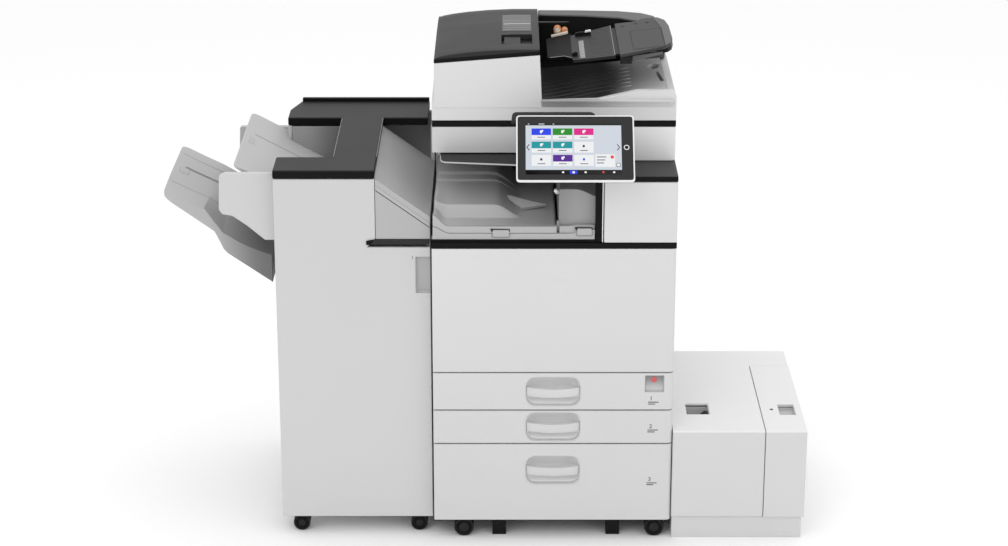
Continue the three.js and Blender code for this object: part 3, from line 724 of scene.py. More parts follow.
def screen_layout():
    face = lit("screen_face", (0.66, 0.71, 0.78))
    card = lit("screen_card", (0.90, 0.91, 0.93))
    bar = moulded("screen_bar", (0.006, 0.006, 0.007), roughness=0.15, grain=0.0, specular=0.15)
    white = lit("screen_white", (1.0, 1.0, 1.0))
    blue, green = lit("screen_blue", (0.01, 0.05, 0.85)), lit("screen_green", (0.01, 0.28, 0.01))
    magenta, teal = lit("screen_magenta", (0.76, 0.01, 0.26)), lit("screen_teal", (0.0, 0.32, 0.36))
    purple, red = lit("screen_purple", (0.09, 0.01, 0.30)), lit("screen_red", (0.80, 0.08, 0.06))
    ink = moulded("screen_ink", (0.03, 0.03, 0.05), roughness=0.3, grain=0.0, specular=0.1)
    panel_patch("bezel", 0.012, 0.021, 0.988, 0.979, -0.1, moulded("bezel_black", (0.022, 0.022, 0.023),
                roughness=0.22, grain=0.0, specular=0.25), thick=0.5, r=6.0, slot="black_part", bevel=0.15)
    panel_patch("screen_sheet", 0.08, 0.118, 0.89, 0.898, -0.35, bar, r=0.5)
    panel_patch("screen_field", 0.08, 0.158, 0.89, 0.828, -0.55, face)
    columns = (0.13, 0.31, 0.49)
    rows = (0.205, 0.405, 0.605)
    bands = ((blue, green, magenta), (teal, teal, None), (None, purple, None))
    for r, v in enumerate(rows):
        for c, u in enumerate(columns):
            panel_patch(f"tile_{r}_{c}", u, v, u + 0.165, v + 0.165, -0.75, card, r=1.0)
            band = bands[r][c]
            if band:
                panel_patch(f"tile_band_{r}_{c}", u, v, u + 0.165, v + 0.1, -0.95, band)
                panel_patch(f"tile_icon_{r}_{c}", u + 0.071, v + 0.028, u + 0.090, v + 0.072, -1.1, white,
                    r=2.2)
                panel_patch(f"tile_icon_b_{r}_{c}", u + 0.084, v + 0.024, u + 0.099, v + 0.048, -1.12, white,
                    r=1.0)
            else:
                spot = blue if r == 2 and c == 2 else ink
                panel_patch(f"tile_icon_{r}_{c}", u + 0.072, v + 0.05, u + 0.09, v + 0.085, -1.0, spot, r=1.5)
            panel_patch(f"tile_line_{r}_{c}", u + 0.05, v + 0.128, u + 0.115, v + 0.138, -0.9, ink)
    panel_patch("status_card", 0.667, 0.595, 0.833, 0.785, -0.75, card, r=1.0)
    for row in range(3):
        panel_patch(f"status_line_{row}", 0.68, 0.63 + 0.045 * row, 0.76 - 0.01 * row, 0.642 + 0.045 * row,
            -0.9, ink)
    panel_patch("status_dot", 0.795, 0.612, 0.825, 0.662, -0.95, red, r=4.0)
    panel_patch("corner_button", 0.845, 0.725, 0.878, 0.785, -0.75, ink, r=0.8)
    panel_patch("corner_button_face", 0.849, 0.732, 0.874, 0.778, -0.9, card, r=0.5)
    for name, u in (("left", 0.098), ("right", 0.866)):
        turn = 1 if name == "left" else -1
        x, z = panel_x(u), panel_z(0.49)
        chevron = [(x + 2.4 * turn, z + 8), (x + 4.4 * turn, z + 7.2), (x - 1.0 * turn, z), (x + 4.4 * turn,
            z - 7.2),
                   (x + 2.4 * turn, z - 8), (x - 3.4 * turn, z)]
        piece(f"screen_chevron_{name}", prism(chevron, "xz", -0.85, -0.55, on_panel), "panel", "screen", ink,
            bevel=0)
    for index, (u, colour) in enumerate(((0.385, white), (0.575, white), (0.725, red), (0.815, white))):
        panel_patch(f"task_mark_{index}", u, 0.852, u + 0.018, 0.876, -0.5, colour, r=0.8)
    panel_patch("task_home", 0.45, 0.838, 0.515, 0.892, -0.5, blue, r=3.5)
    panel_patch("task_home_dot", 0.473, 0.85, 0.493, 0.88, -0.65, white, r=2.0)
    for index, (u, w) in enumerate(((0.10, 0.012), (0.19, 0.05), (0.31, 0.012))):
        panel_patch(f"bar_mark_{index}", u, 0.13, u + w, 0.142, -0.5, face)
    for index, (u, v) in enumerate(((0.045, 0.925), (0.08, 0.925), (0.168, 0.922), (0.86, 0.07))):
        panel_patch(f"bezel_light_{index}", u, v, u + 0.012, v + 0.02, -0.25, white, r=1.2)
    ring = lathe((121.5, -0.1, 0.9), "y", [(-0.9, 4.6), (-0.9, 6.4), (0.3, 6.6), (0.3, 4.4)], 36)
    verts, faces = ring
    steps = 36
    open_faces = faces[2:] + [(3 * steps + k, 3 * steps + (k + 1) % steps, (k + 1) % steps,
        k) for k in range(steps)]
    piece("home_key_ring", ([on_panel(*v) for v in verts], open_faces), "panel", "pale_part", RIM, bevel=0)


screen_layout()
piece("home_key_cap", lathe((121.5, 0, 0.9), "y", [(-0.7, 2.0), (-1.2, 3.6), (-0.9, 4.0), (3.5, 4.0), (3.5,
    2.0)], 32,
                            on_panel), "home_key", "dark_trim", BLACK, bevel=0, replaces=("home_key",))
piece("panel_back_shell",
      prism(rounded([(-148, 78), (-145, 104.5), (51, 104.5), (51, 40), (-126, 40), (-126, 78)], [3, 12, 14, 2,
          2, 3], 5),
            "xz", 19.3, 33, on_panel),
      "panel", "dark_trim", WELL, bevel=2.5)

# ---------------------------------------------------------------- document feeder

COVER_X0, COVER_X1, COVER_Y0, COVER_Y1 = -287.0, -35.0, 127.0, 600.0
COVER_LONG = [(-287, 1199), (-275, 1204.5), (-250, 1209.5), (-210, 1215), (-160, 1219.3), (-100, 1222), (-31,
    1222)]
COVER_DROP = [(127, 2.6), (129, 1.8), (133, 1.4), (150, 0.8), (240, 0), (400, 0), (540, 5), (585, 11), (600,
    18)]
LEVER = (-126, 182, -52, 272)
LEVER_EDGES_X = (-126.4, -125.6, -52.4, -51.6)
LEVER_EDGES_Y = (181.6, 182.4, 271.6, 272.4)


def seam(x):
    return 1187 + 20.0 * (x - COVER_X0) / (COVER_X1 - COVER_X0)


def crown(x, y):
    return along(COVER_LONG, x) - along(COVER_DROP, y)


def cover_top(x, y):
    x0, y0, x1, y1 = LEVER
    sunk = 12.0 if x0 < x < x1 and y0 < y < y1 else 0.0
    return (x, y, crown(x, y) - sunk)


piece("feeder_cover_shell",
      grid(spread(COVER_X0, COVER_X1, 10, -275, -250, -210, -160, -100, *LEVER_EDGES_X),
           spread(COVER_Y0, COVER_Y1, 20, 127, 129, 133, 150, 240, 400, 540, 585, *LEVER_EDGES_Y),
           cover_top, lambda x, y: (x, y, seam(x) + 0.5)),
      "feeder_cover", "dark_trim", DARK, bevel=0.8, replaces=("feeder_cover",))
piece("feeder_lever", block(-120, 194, 1207, -80, 262, 1218), "feeder_cover", "dark_trim", DARK, bevel=2.0)
piece("feeder_lever_well", block(-125, 183, 1207.5, -53, 271, 1210.4), "feeder_cover", "black_part", STRIP,
    bevel=0.4)
# A black strip over the lower front face of the dark cover: painted shade, darker than the cover's top.
piece("feeder_cover_front_shade",
      grid(spread(COVER_X0 - 0.5, COVER_X1 + 0.5, 24), spread(0, 1, 4),
           lambda x, t: (x, 125.0 + 1.2 * (2 * t - 1) ** 2, seam(x) + 0.6 + 9.2 * t),
           lambda x, t: (x, 128.2, seam(x) + 0.6 + 9.2 * t)),
      "feeder_cover", "black_part", STRIP, bevel=0.4)
LABEL_GREY = moulded("blank_label", (0.060, 0.060, 0.061), roughness=0.35, specular=0.3)
piece("feeder_label",
      grid(spread(-124, -53, 6), spread(306, 486, 10),
           lambda x, y: (x, y, crown(x, y) + 0.45), lambda x, y: (x, y, crown(x, y) - 0.4)),
      "feeder_cover", "dark_trim", LABEL_GREY, bevel=0)
for row in range(6):
    y = 318 + 19 * row
    piece(f"feeder_label_line_{row}",
          grid(spread(-121, -121 + (64 if row != 3 else 66), 4), spread(y, y + (3 if row != 3 else 7), 1),
               lambda x, y: (x, y, crown(x, y) + 0.75), lambda x, y: (x, y, crown(x, y) + 0.1)),
          "feeder_cover", "pale_part", PALE if row == 3 else GREY, bevel=0)
piece("feeder_nose", prism(rounded([(-36, 468), (30, 470), (44, 474), (44, 480), (-36, 481)], [0, 5, 3, 3, 0]),
    "xy",
                           1196, 1204), "feeder_cover", "black_part", BLACK, bevel=1.2)
piece("feeder_nose_cheek", prism(rounded([(4, 1184), (38, 1184), (44, 1200), (-4, 1200)], 4), "xz", 473, 477),
      "feeder_cover", "black_part", BLACK, bevel=0.5)

HOUSING_LINE = [(-288.5, 1077), (-28.4, 1077), (-34.5, seam(-35)), (-287, seam(-287))]
piece("feeder_housing_shell", prism(rounded(HOUSING_LINE, [3, 0, 0, 0]), "xz", 124.6, 600), "feeder",
    "white_cover", WHITE,
      bevel=2.6, segments=4, replaces=("feeder_housing",), cuts=[block(-262, 150, 1112, -20, 575, 1300)])

TRAY_PIVOT_X, TRAY_PIVOT_Z = -14.0, 1170.0
TRAY_RISE = math.atan2(34, 291)
RISE_COS, RISE_SIN = math.cos(TRAY_RISE), math.sin(TRAY_RISE)


def on_tray(s, y, n):
    return (TRAY_PIVOT_X + s * RISE_COS - n * RISE_SIN, y, TRAY_PIVOT_Z + s * RISE_SIN + n * RISE_COS)


def tray_piece(name, outline, low, high, material=PLATE, bevel=0.8, slot="dark_trim", **more):
    return piece(name, prism(outline, "xy", low, high, on_tray), "document_tray", slot, material, bevel=bevel,
        **more)


tray_piece("document_plate", rounded([(60, 173), (163, 172), (163, 474), (60, 414)], [6, 1, 1, 6]), -1, 6,
           replaces=("document_tray",))
tray_piece("document_plate_step", rounded([(0, 226), (40, 226), (60, 200), (62, 200), (62, 440), (0, 416)], 3),
    -3, 5, STEP)
tray_piece("document_extension",
           rounded([(174, 164), (284, 196), (300, 226), (307, 275), (306, 400), (300, 455), (286, 490), (268,
               499),
                    (240, 498), (232, 478), (174, 478)], [3, 20, 20, 30, 30, 30, 16, 14, 8, 8, 3]), 1, 8.5,
                        EXTENSION, bevel=1.6, segments=3)
tray_piece("document_extension_link", [(158, 200), (180, 200), (180, 460), (158, 460)], -3, 2, BLACK,
    slot="black_part")
tray_piece("document_extension_panel", rect(209, 200, 284, 378, 1.5), 8.4, 9.1, EXTENSION, bevel=0.3)
piece("document_panel_line", tube([(208.4, 202, 8.6), (208.4, 379, 8.6), (284.6, 379, 8.6), (284.6, 204, 8.6)],
    0.6, 6, on_tray),
      "document_tray", "black_part", BLACK, bevel=0)
tray_piece("document_extension_cap",
           rounded([(287, 202), (300, 228), (306, 275), (305, 400), (299, 455), (283, 490), (272, 495), (287,
               380)],
                   [2, 18, 28, 28, 28, 10, 3, 10]), 8.4, 9.4, ARM, bevel=0.5)
tray_piece("document_extension_keel",
           rounded([(264, 216), (290, 214), (301, 236), (306.5, 275), (304.5, 382), (264, 440)], [3, 12, 14,
               20, 20, 3]),
           -12, 1.2, BLACK, bevel=2.0, slot="black_part")
for index, (s, y) in enumerate(((193, 438), (226, 453), (255, 452))):
    spot = (s, y, 0)
    piece(f"document_extension_hole_{index}",
          lathe(spot, "z", [(8.4, 4.4), (8.9, 4.2), (8.9, 3.0), (8.5, 2.4)], 20, on_tray),
          "document_tray", "black_part", BLACK, bevel=0)
piece("document_plate_rim", tube([(162.4, 176, 5.9), (162.4, 472, 5.9)], 0.9, 8, on_tray), "document_tray",
      "grey_tray", GREY, bevel=0)
piece("document_step_rim", tube([(6, 226, 5), (40, 226, 5), (60, 200, 5.2)], 0.9, 8, on_tray), "document_tray",
      "grey_tray", GREY, bevel=0)
tray_piece("document_scale", rect(79, 184, 91, 352, 1), 5.9, 6.5, GREY, bevel=0.2, slot="grey_tray")
for index in range(9):
    y = 194 + 19 * index
    tray_piece(f"document_scale_tick_{index}", rect(81, y, 89 if index % 2 else 85.5, y + 1.6), 6.3, 6.8, ARM,
               bevel=0)
for index in range(12):
    y = 186 + 23 * index
    tray_piece(f"document_plate_rib_{index}", rect(104, y, 156, y + 1.6, 0.7), 5.9, 6.3, PLATE, bevel=0.15)
piece("document_side_strip",
      prism(rounded([(189, 1175), (189, 1190), (262, 1199.5), (262, 1194)], 1.2), "xz", 188, 196),
          "document_tray",
      "grey_tray", ARM, bevel=0.6)
piece("document_side_bracket", prism(rect(160, 1171, 188, 1190, 1.5), "xz", 184, 196), "document_tray",
    "dark_trim",
      PLATE, bevel=0.8)
for side, y, x0, x1 in (("front", 217, 60, 74), ("rear", 407, 72, 112)):
    fence = rounded([(x0, 6.6), (x1, 6.6), (x1, 13), (x0 + 8, 15), (x0, 12)], 1.5)
    piece(f"{side}_guide_fence", prism(fence, "xz", y - 3, y + 3, on_tray), f"{side}_guide", "grey_tray", BLACK,
          bevel=0.8, replaces=(f"{side}_guide",))
    piece(f"{side}_guide_foot", prism(rect(x0, y - 7, min(x1, x0 + 26), y + 7, 3), "xy", 6.95, 8.2, on_tray),
        f"{side}_guide",
          "grey_tray", BLACK, bevel=0.5)
piece("rear_guide_tip", prism(rounded([(96, 12.5), (113, 13), (113, 17.5), (99, 16.5)], 1.5), "xz", 403, 411,
    on_tray),
      "rear_guide", "grey_tray", RIM, bevel=1.0)

piece("pickup_tyre", lathe((14, 459, 1188), "y",
      [(-12, 7.5), (-12, 9.1), (-11.3, 9.5), (-3, 9.5), (-2.4, 8.5), (2.4, 8.5), (3, 9.5), (11.3, 9.5), (12,
          9.1), (12, 7.5)],
      36), "pickup", "roller_rubber", ROLLER, bevel=0, replaces=("pickup_roller",))
piece("pickup_hub", lathe((14, 459, 1188), "y", [(-13, 3), (-13, 7.2), (13, 7.2), (13, 3)], 28), "pickup",
      "pale_part", IVORY, bevel=0)
piece("separation_roller", lathe((32, 458, 1185.5), "y", [(-10, 6), (-9.5, 8), (9.5, 8), (10, 6)], 32),
    "document_tray",
      "roller_rubber", ROLLER, bevel=0)
piece("separation_block", prism(rounded([(-2, 1172.5), (40, 1182.5), (40, 1188), (-2, 1178)], 2), "xz", 434,
    446),
      "document_tray", "pale_part", IVORY, bevel=1.0)


def exit_height(x, y):
    base = along([(-30, 1082), (160, 1100), (274, 1110)], x)
    return (x, y, base)


piece("exit_tray_shell",
      grid(spread(-30, 274, 24), spread(145, 481, 16), exit_height, lambda x, y: (x, y, 1079.2)),
      "feeder", "grey_tray", EXIT_TRAY, bevel=0.6, replaces=("feeder_exit_tray",),
      cuts=[prism(rounded([(240, 376), (262, 380), (270, 412), (254, 430), (236, 404)], 7), "xy", 1096, 1120),
            prism(rounded([(254, 352), (262, 352), (272, 256), (263, 256)], 3), "xy", 1097, 1120)])
# The dark grey floor under the pocket and slot in the exit tray is painted shade in the recesses.
piece("exit_tray_slot_floor", prism(rounded([(244, 378), (254, 352), (266, 252), (275, 256), (266, 354), (270,
    414), (254, 426)], 3),
                                    "xy", 1095.5, 1098.8), "feeder", "grey_tray", ARM, bevel=0.3)
for index in range(6):
    y0, y1 = 150 + 34 * index, 236 + 34 * index
    path = [(x, y0 + (y1 - y0) * (x + 26) / 216, exit_height(x, 0)[2] + 0.4) for x in (-26, 60, 160, 190)]
    piece(f"exit_tray_rib_{index}", tube(path, 2.2, 8, squash=0.9), "feeder", "grey_tray", RIB, bevel=0)
piece("feeder_lip_roll",
      grid(spread(-29, 287, 30), spread(0, 1, 8),
           lambda x, t: (x, 125.9 - 11 * t ** 1.4 + 2.5 * max(0.0, t - 0.9) * 10, 1079 + 19.5 * t),
           lambda x, t: (x, 127, 1079 + 19.5 * t)),
      "feeder", "white_cover", ROLL, bevel=0)

ARM_TOP = [(-33, 1205), (66, 1204.5), (170, 1202.5), (230, 1197.5), (262, 1190), (281, 1177), (287, 1160)]
ARM_LINE = [(-33, 1079.3), (272, 1079.3), (274, 1105), (286.5, 1106), *reversed(ARM_TOP)]
ARM_INNER = [(-33, 552), (84, 545), (172, 530), (222, 510), (250, 484)]
piece("feeder_arm_shell", prism(ARM_LINE, "xz", 484, 600), "feeder", "dark_trim", ARM, bevel=4.0, segments=3,
      replaces=("feeder_rear_arm",), cuts=[prism([(-60, 470), (252, 470), *reversed(ARM_INNER), (-60, 552)],
          "xy",
                                                 1085, 1300)])
piece("feeder_arm_liner",
      grid(spread(-30, 246, 30), spread(0, 1, 2),
           lambda x, t: (x, along(ARM_INNER, x) - 1.6, 1085.5 + (along(ARM_TOP, x) - 1089.5) * t),
           lambda x, t: (x, along(ARM_INNER, x) + 0.4, 1085.5 + (along(ARM_TOP, x) - 1089.5) * t)),
      "feeder", "black_part", BLACK, bevel=0)
piece("feeder_arm_floor", prism([(-29, 482), (247, 482), *[(x, y - 2) for x, y in reversed(ARM_INNER[:4])]],
    "xy",
                                1084, 1086), "feeder", "black_part", BLACK, bevel=0.2)

# ---------------------------------------------------------------- scanner

piece("platen_pad_sheet", block(-222, 166, 1044.6, 222, 556, 1045.8), "feeder", "pale_part", PAD, bevel=0.3)
piece("original_scale_left", block(-240, 170, 1045.05, -229, 552, 1045.7), "cabinet", "pale_part", PALE,
    bevel=0.2)
for index in range(13):
    piece(f"original_scale_tick_{index}", block(-238, 178 + 30 * index, 1045.6, -232 + 3 * (index % 2), 179.5
          + 30 * index, 1045.95), "cabinet", "dark_trim", DARK, bevel=0)

# ---------------------------------------------------------------- finisher

# Black strips over the front faces of the dark cap and top cover: painted shade, darker than their tops.
piece("tower_cap_face", prism(rect(114.6, 932, 292.8, 943.4, 2.5), "xz", -0.9, 1.0), "cabinet", "black_part",
    STRIP,
      bevel=0.8)
piece("top_cover_face_front", prism(rect(-671.5, 930.5, -429.5, 948, 2.5), "xz", 28.9, 31), "cabinet",
    "black_part",
      STRIP, bevel=0.8)
piece("top_cover_face_left", prism(rect(-671.5, 930.5, -534, 948, 1.5), "xz", 488.9, 491), "cabinet",
    "black_part",
      STRIP, bevel=0.6)
piece("top_cover_face_right", prism(rect(-428.5, 930.5, -314.5, 948, 1.5), "xz", 488.9, 491), "cabinet",
    "black_part",
      STRIP, bevel=0.6)
piece("top_cover_rear_lip", prism(rect(-646, 949.5, -315, 959, 2.5), "xz", 643, 655), "cabinet", "black_part",
    STRIP,
      bevel=1.2)
# Thin lighter rods along the well's edges on the dark top cover: painted highlights.
for side, x in (("left", -533.3), ("right", -428.9)):
    piece(f"top_cover_highlight_{side}", tube([(x, 146, 949.2), (x, 300, 949.2), (x, 487, 949.2)], 0.9, 8),
        "cabinet",
          "grey_tray", GREY, bevel=0)

UP_RUN, UP_RISE = -227.0, 122.0
UP_LONG = math.hypot(UP_RUN, UP_RISE)


def on_slope(s, y, n):
    """Along the upper tray's slope from its low right end, across, and off its face."""
    c, r = UP_RUN / UP_LONG, UP_RISE / UP_LONG
    return (-541 + s * c + n * r, y, 826 + s * r - n * c)


def slope_piece(name, outline, low, high, material, bevel, **more):
    return piece(name, prism(outline, "xy", low, high, on_slope), "cabinet", "pale_part", material,
        bevel=bevel, **more)


slope_piece("upper_tray_plate",
            rounded([(2, 150), (128, 150), (146, 88), (258, 88), (258, 552), (146, 552), (128, 486), (2, 486)],
                    [0, 8, 8, 24, 24, 8, 8, 0], 6), -9, 0, TRAY, 2.4, segments=3, replaces=("upper_tray",))
piece("upper_tray_keel", prism([(-560, 829), (-600, 842), (-700, 899), (-740, 925), (-640, 862), (-575, 826)],
    "xz",
                               200, 430), "cabinet", "pale_part", TRAY, bevel=1.0)
slope_piece("upper_tray_pad", rect(228, 300, 244, 352, 5), -0.3, 0.7, PALE, 0.3)
# A thin sheet over the well's rear wall that carries painted shade; it is no separate part.
piece("finisher_well_painted_shade", block(-661, 482, 800, -534, 486.5, 928), "cabinet", "pale_part", WELL_WALL,
    bevel=0.4)
slope_piece("upper_tray_groove", rect(60, 383, 234, 391, 3), -0.5, 0.35, PALE, 0.2)
slope_piece("upper_tray_groove_line", rect(64, 382, 232, 384.5, 1), -0.3, 0.6, GREY, 0.1)

SHIFT_TOP = [(-951, 860), (-900, 833), (-848, 808), (-780, 768), (-712, 725), (-690, 713)]
SHIFT_DISH = [(-951, 856), (-899, 835), (-852, 817), (-829, 783), (-808, 755), (-764, 727), (-731, 712), (-690,
    697)]
SHIFT_UNDER = [(-951, 847), (-828, 758), (-805, 707), (-690, 627)]
SHIFT_PLAN = rounded([(-690, 146), (-951, 146), (-951, 549), (-690, 549)], [2, 26, 26, 2], 6)


def shift_height(x, y):
    """The tray's face: straight at the back, dished towards the front edge."""
    share = ease(y, 150, 290)
    return along(SHIFT_DISH, x) * (1 - share) + along(SHIFT_TOP, x) * share


def shift_body():
    verts, faces = grid(spread(-951, -690, 24, -829, -808, -852), spread(146, 549, 22),
                        lambda x, y: (x, y, shift_height(x, y)), lambda x, y: (x, y, along(SHIFT_UNDER, x)))
    obj = new_object("shift_tray_body", verts, faces)
    carve(obj, [prism(SHIFT_PLAN, "xy", 600, 900)], "INTERSECT")
    obj.data.materials.clear()
    obj.data.materials.append(SHIFT)
    soften(obj, 1.6, 2, 40.0)
    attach(obj, "shift_tray")
    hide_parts("shift_tray")


shift_body()


def shifted(x, y, lift):
    return (x, y, shift_height(x, y) + lift)


def shift_strip(name, x0, x1, y0, y1, lift, material, y2=None):
    """A thin strip that follows the tray's top; its far end may drift to y2."""
    drift = 0 if y2 is None else y2 - y0
    piece(name, grid(spread(x0, x1, 16, *[x for x, _ in SHIFT_TOP if x0 < x < x1]), (0, 1),
                     lambda x, t: shifted(x, y0 + (y1 - y0) * t + drift * (x - x0) / (x1 - x0), lift),
                     lambda x, t: shifted(x, y0 + (y1 - y0) * t + drift * (x - x0) / (x1 - x0), -1.5)),
          "shift_tray", "grey_tray", material, bevel=0)


shift_strip("shift_tray_line_rear", -942, -700, 486, 489, 0.35, GREY)
shift_strip("shift_tray_line_front", -944, -700, 252, 255, 0.35, GREY)
shift_strip("shift_tray_slot", -926, -700, 388, 397, 0.4, GREY)
shift_strip("shift_tray_slot_shadow", -924, -704, 396, 400, 0.8, ARM)
shift_strip("shift_tray_pad", -936, -914, 345, 385, 0.7, PALE)

EXIT_CHEEK = [(-672.9, 765), (-697, 765), (-739, 801), (-774, 826), (-798, 830), (-806, 842), (-803, 927),
    (-792, 932),
              (-672.9, 934)]
CHEEK_RADII = [0, 8, 30, 24, 10, 8, 8, 6, 0]
for side, y0, y1, drop in (("front", 60, 74, 0), ("rear", 556, 570, 26)):
    cheek = [(x, min(z, 934 - drop)) for x, z in EXIT_CHEEK[:-2]] + [(-788, 934 - drop), (-672.9, 934 - drop)]
    piece(f"exit_cheek_{side}", prism(rounded(cheek, CHEEK_RADII, 6), "xz", y0, y1), "cabinet", "white_cover",
          OFF_WHITE, bevel=3.0, segments=3, replaces=("exit_cover",))
piece("exit_wall", block(-688, 74.3, 766, -672.9, 555.7, 792), "cabinet", "white_cover", WHITE, bevel=1.2)

CHEEK_TOP = [(-428, 912), (-298, 819)]
for name, drop, tall, front, material in (
    ("band", 0.0, 10.0, 28.6, PALE), ("line", 10.5, 1.8, 29.2, WELL), ("field", 13.0, 200.0, 29.4, SLOPE),
):
    low_left = max(779.0, CHEEK_TOP[0][1] - drop - tall)
    low_right = max(779.0, CHEEK_TOP[1][1] - drop - tall)
    outline = [(-427, CHEEK_TOP[0][1] - drop), (-298.5, CHEEK_TOP[1][1] - drop), (-298.5, low_right), (-427,
        low_left)]
    piece(f"slope_cheek_{name}", prism(outline, "xz", front, 30.2), "cabinet", "pale_part", material, bevel=0.3)
piece("finisher_strip", prism(rounded([(-441, 764.5), (-299, 764.5), (-299, 777.5), (-432, 777.5)], [1, 2, 2,
    1]),
                              "xz", 27.5, 44), "cabinet", "black_part", DARK, bevel=1.2)
piece("finisher_strip_tip", prism(rounded([(-451, 763.5), (-441, 763.5), (-432.5, 777), (-451, 774)], [2, 0, 0,
    2]),
                                  "xz", 26.5, 29.6), "finisher_door", "black_part", STRIP, bevel=0.6)
piece("finisher_grip_face", block(-332, 40.5, 642, -298.5, 42, 731), "finisher_door", "white_cover", PALE,
    bevel=0.3)
piece("finisher_door_mark", prism(rect(-341.5, 727, -339.5, 735, 0.8), "xz", 29.2, 30.2), "finisher_door",
      "grey_tray", GREY, bevel=0)

# ---------------------------------------------------------------- paper magazine

piece("magazine_pocket", block(335, 106, 243, 395, 183, 279), "magazine", "white_cover", WHITE, bevel=0.6,
      cuts=[block(337.5, 109.5, 246, 392.5, 179.5, 290)])
piece("magazine_lever", prism(rounded([(352, 250), (392, 250), (392, 281), (384, 283), (366, 266), (352, 268)],
                                      [1, 1, 2, 2, 5, 2]), "xz", 112, 150), "magazine", "black_part", STRIP,
                                          bevel=1.5)
piece("magazine_lever_floor", block(346, 110, 246.2, 392, 150, 250), "magazine", "black_part", BLACK, bevel=0.4)
piece("hatch_pocket", block(567, 102, 246, 611, 177, 279), "magazine_hatch", "white_cover", WHITE, bevel=0.6,
      cuts=[grid(spread(569.5, 608.5, 4), spread(105.5, 173.5, 8),
                 lambda x, y: (x, y, 290), lambda x, y: (x, y, 250 + 22 * ease(y, 120, 174)))])
piece("hatch_lock", lathe((551, 138, 0), "z", [(289.6, 4.2), (290.6, 4.0), (290.7, 2.2), (290.0, 1.6)], 24),
      "magazine_hatch", "dark_trim", DARK, bevel=0)

# ---------------------------------------------------------------- casters and feet

for name in ("front_left", "front_right", "finisher_left", "finisher_right"):
    low, high = (Vector(c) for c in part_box(f"{name}_caster_wheel"))
    middle = ((low + high) / 2 - ORIGIN) / MM
    radius = (high.z - low.z) / 2 / MM
    for side in (-1, 1):
        profile = [(side * 18.2, 2.5), (side * 18.9, 3.0), (side * 18.9, 6.5), (side * 18.4, 7.5), (side * 18.4,
                   radius * 0.62), (side * 19.2, radius * 0.66), (side * 19.2, radius * 0.8), (side * 17.8,
                       radius * 0.84)]
        piece(f"{name}_hub_{'front' if side < 0 else 'rear'}", lathe(tuple(middle), "y", profile, 28),
              f"{name}_wheel", "wheel_rubber", STRIP, bevel=0)
for x in (-132, 151):
    name = "left" if x < 0 else "right"
    piece(f"levelling_nut_{name}", lathe((x, 40, 0), "z", [(30, 8), (30, 12), (31, 12.8), (38, 12.8), (39, 12),
        (39, 8)],
                                         6), "cabinet", "black_part", STRIP, bevel=0.6)

# ---------------------------------------------------------------- behind and beside

def merged(shapes):
    verts, faces = [], []
    for more_verts, more_faces in shapes:
        base = len(verts)
        verts += more_verts
        faces += [tuple(i + base for i in face) for face in more_faces]
    return verts, faces


def louvres(name, x0, x1, z0, z1, y, pitch=9.0, body="cabinet"):
    """A bank of sloping slats in a frame, on a face that looks backwards."""
    frame_outline = rect(x0 - 6, z0 - 6, x1 + 6, z1 + 6, 3)
    piece(f"{name}_frame", prism(frame_outline, "xz", y, y + 1.6), body, "white_cover", WHITE, bevel=0.5,
          cuts=[prism(rect(x0, z0, x1, z1), "xz", y - 5, y + 5)])
    piece(f"{name}_dark", prism(rect(x0 - 1, z0 - 1, x1 + 1, z1 + 1), "xz", y, y + 0.4), body, "black_part",
        BLACK,
          bevel=0)
    slats = []
    z = z0 + 2
    while z < z1 - 3:
        slats.append(prism([(y + 0.3, z), (y + 2.2, z - 2.5), (y + 2.8, z - 0.9), (y + 0.3, z + 3)], "yz", x0,
            x1))
        z += pitch
    piece(f"{name}_slats", merged(slats), body, "white_cover", WHITE, bevel=0)


REAR = 640.0
louvres("rear_vent_upper", -240, -90, 760, 900, REAR)
louvres("rear_vent_lower", 90, 240, 560, 680, REAR)
louvres("rear_vent_power", -240, -120, 150, 260, REAR)
for column, x in enumerate((-272, 0, 272)):
    for row, z in enumerate((80, 400, 700, 1000)):
        piece(f"rear_screw_{column}_{row}", lathe((x, REAR - 0.4, z), "y", SCREW_HEAD, 20), "cabinet",
            "frame_steel", STEEL,
              bevel=0)
piece("rear_panel_line_low", prism(rect(-286, 352, 286, 354.2), "xz", REAR - 0.3, REAR + 0.35), "cabinet",
    "dark_trim",
      WELL, bevel=0)
piece("rear_panel_line_high", prism(rect(-286, 732, 286, 734.2), "xz", REAR - 0.3, REAR + 0.35), "cabinet",
      "dark_trim", WELL, bevel=0)
piece("connector_plate", prism(rect(110, 775, 262, 930, 4), "xz", REAR - 0.2, REAR + 1.4), "cabinet",
    "frame_steel",
      STEEL, bevel=0.5)
for index, (x, z, wide, tall) in enumerate(((130, 895, 16, 14), (156, 895, 16, 14), (182, 895, 14, 7), (208,
    895, 14, 7),
                                            (130, 860, 40, 12), (182, 860, 40, 12), (130, 800, 100, 34))):
    piece(f"connector_{index}", prism(rect(x, z, x + wide, z + tall, 1.2), "xz", REAR + 1.2, REAR + 3.2),
        "cabinet",
          "black_part", BLACK, bevel=0.4, cuts=[prism(rect(x + 2, z + 1.6, x + wide - 2, z + tall - 1.6), "xz",
                                                      REAR + 2.2, REAR + 6)])
piece("rating_plate_blank", prism(rect(60, 140, 130, 180, 2), "xz", REAR - 0.2, REAR + 0.4), "cabinet",
    "pale_part",
      PALE, bevel=0.1)
piece("inlet_recess", prism(rect(196, 95, 234, 121, 4), "xz", 649.5, 651.6), "cabinet", "black_part", STRIP,
    bevel=0.3)
for index, (x, z) in enumerate(((205, 112), (225, 112), (215, 102))):
    piece(f"inlet_pin_{index}", prism(rect(x - 1, z - 3, x + 1, z + 3, 0.4), "xz", 650, 654), "cabinet",
          "frame_steel", STEEL, bevel=0.3)


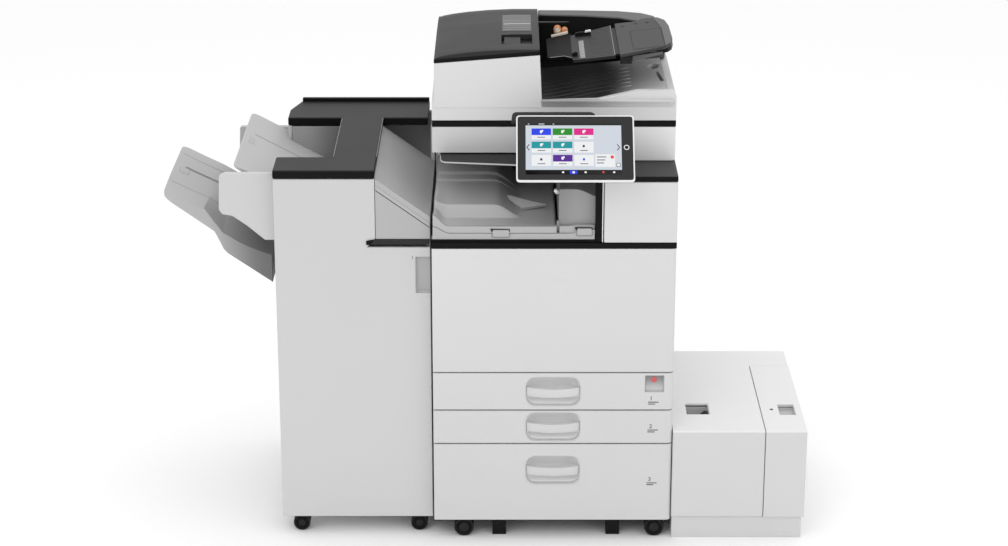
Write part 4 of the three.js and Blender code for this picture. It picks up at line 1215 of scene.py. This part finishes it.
def side_slats(name, x, out, y0, y1, z0, z1, body="cabinet", pitch=10.0):
    """Raised ribs over a dark patch on a side face; out is +1 for the right side and -1 for the left."""
    piece(f"{name}_dark", block(min(x, x + out * 0.4), y0 - 2, z0 - 2, max(x, x + out * 0.4), y1 + 2, z1 + 2),
        body,
          "black_part", BLACK, bevel=0)
    ribs, z = [], z0
    while z < z1 - 3:
        low, high = sorted((x, x + out * 1.4))
        ribs.append(block(low, y0, z, high, y1, z + 5.2))
        z += pitch
    piece(f"{name}_ribs", merged(ribs), body, "white_cover", WHITE, bevel=0)


side_slats("right_vent", 293.5, 1, 520, 610, 520, 700)
side_slats("finisher_vent", -672.0, -1, 520, 610, 180, 360)
piece("bypass_grip", block(293.3, 260, 700, 296.2, 360, 714), "bypass_tray", "white_cover", WHITE, bevel=1.2)
piece("bypass_hinge_line", block(293.3, 156, 495, 294.2, 464, 497), "bypass_tray", "dark_trim", WELL, bevel=0.2)
louvres("finisher_rear_vent", -620, -480, 240, 360, 643.0)
for column, x in enumerate((-655, -500, -320)):
    for row, z in enumerate((80, 480, 900)):
        piece(f"finisher_screw_{column}_{row}", lathe((x, 642.6, z), "y", SCREW_HEAD, 20), "cabinet",
            "frame_steel", STEEL,
              bevel=0)
piece("magazine_rear_line", prism(rect(300, 150, 620, 152), "xz", 544.7, 545.3), "magazine", "dark_trim", WELL,
      bevel=0)

# ---------------------------------------------------------------- inside the front door

TONER_PLACES = (-195, -65, 65, 195)
TONER_AXIS_Z = 690
for index, x in enumerate(TONER_PLACES):
    piece(f"toner_{index + 1}_cap", lathe((x, 0, TONER_AXIS_Z), "y", [(44, 12), (44, 24), (45, 26), (47.2,
        26.6), (47.2, 12)], 36),
          f"toner_{index + 1}", ("toner_black", "toner_cyan", "toner_magenta", "toner_yellow")[index],
              TONERS[index],
          bevel=0)
    piece(f"toner_ring_{index + 1}",
          merged([lathe((x, 0, TONER_AXIS_Z), "y", [(60.6, 33.6), (60.6, 36), (62.2, 36.6), (62.2, 33.6)],
              40)]),
          "cabinet", "pale_part", PALE, bevel=0)
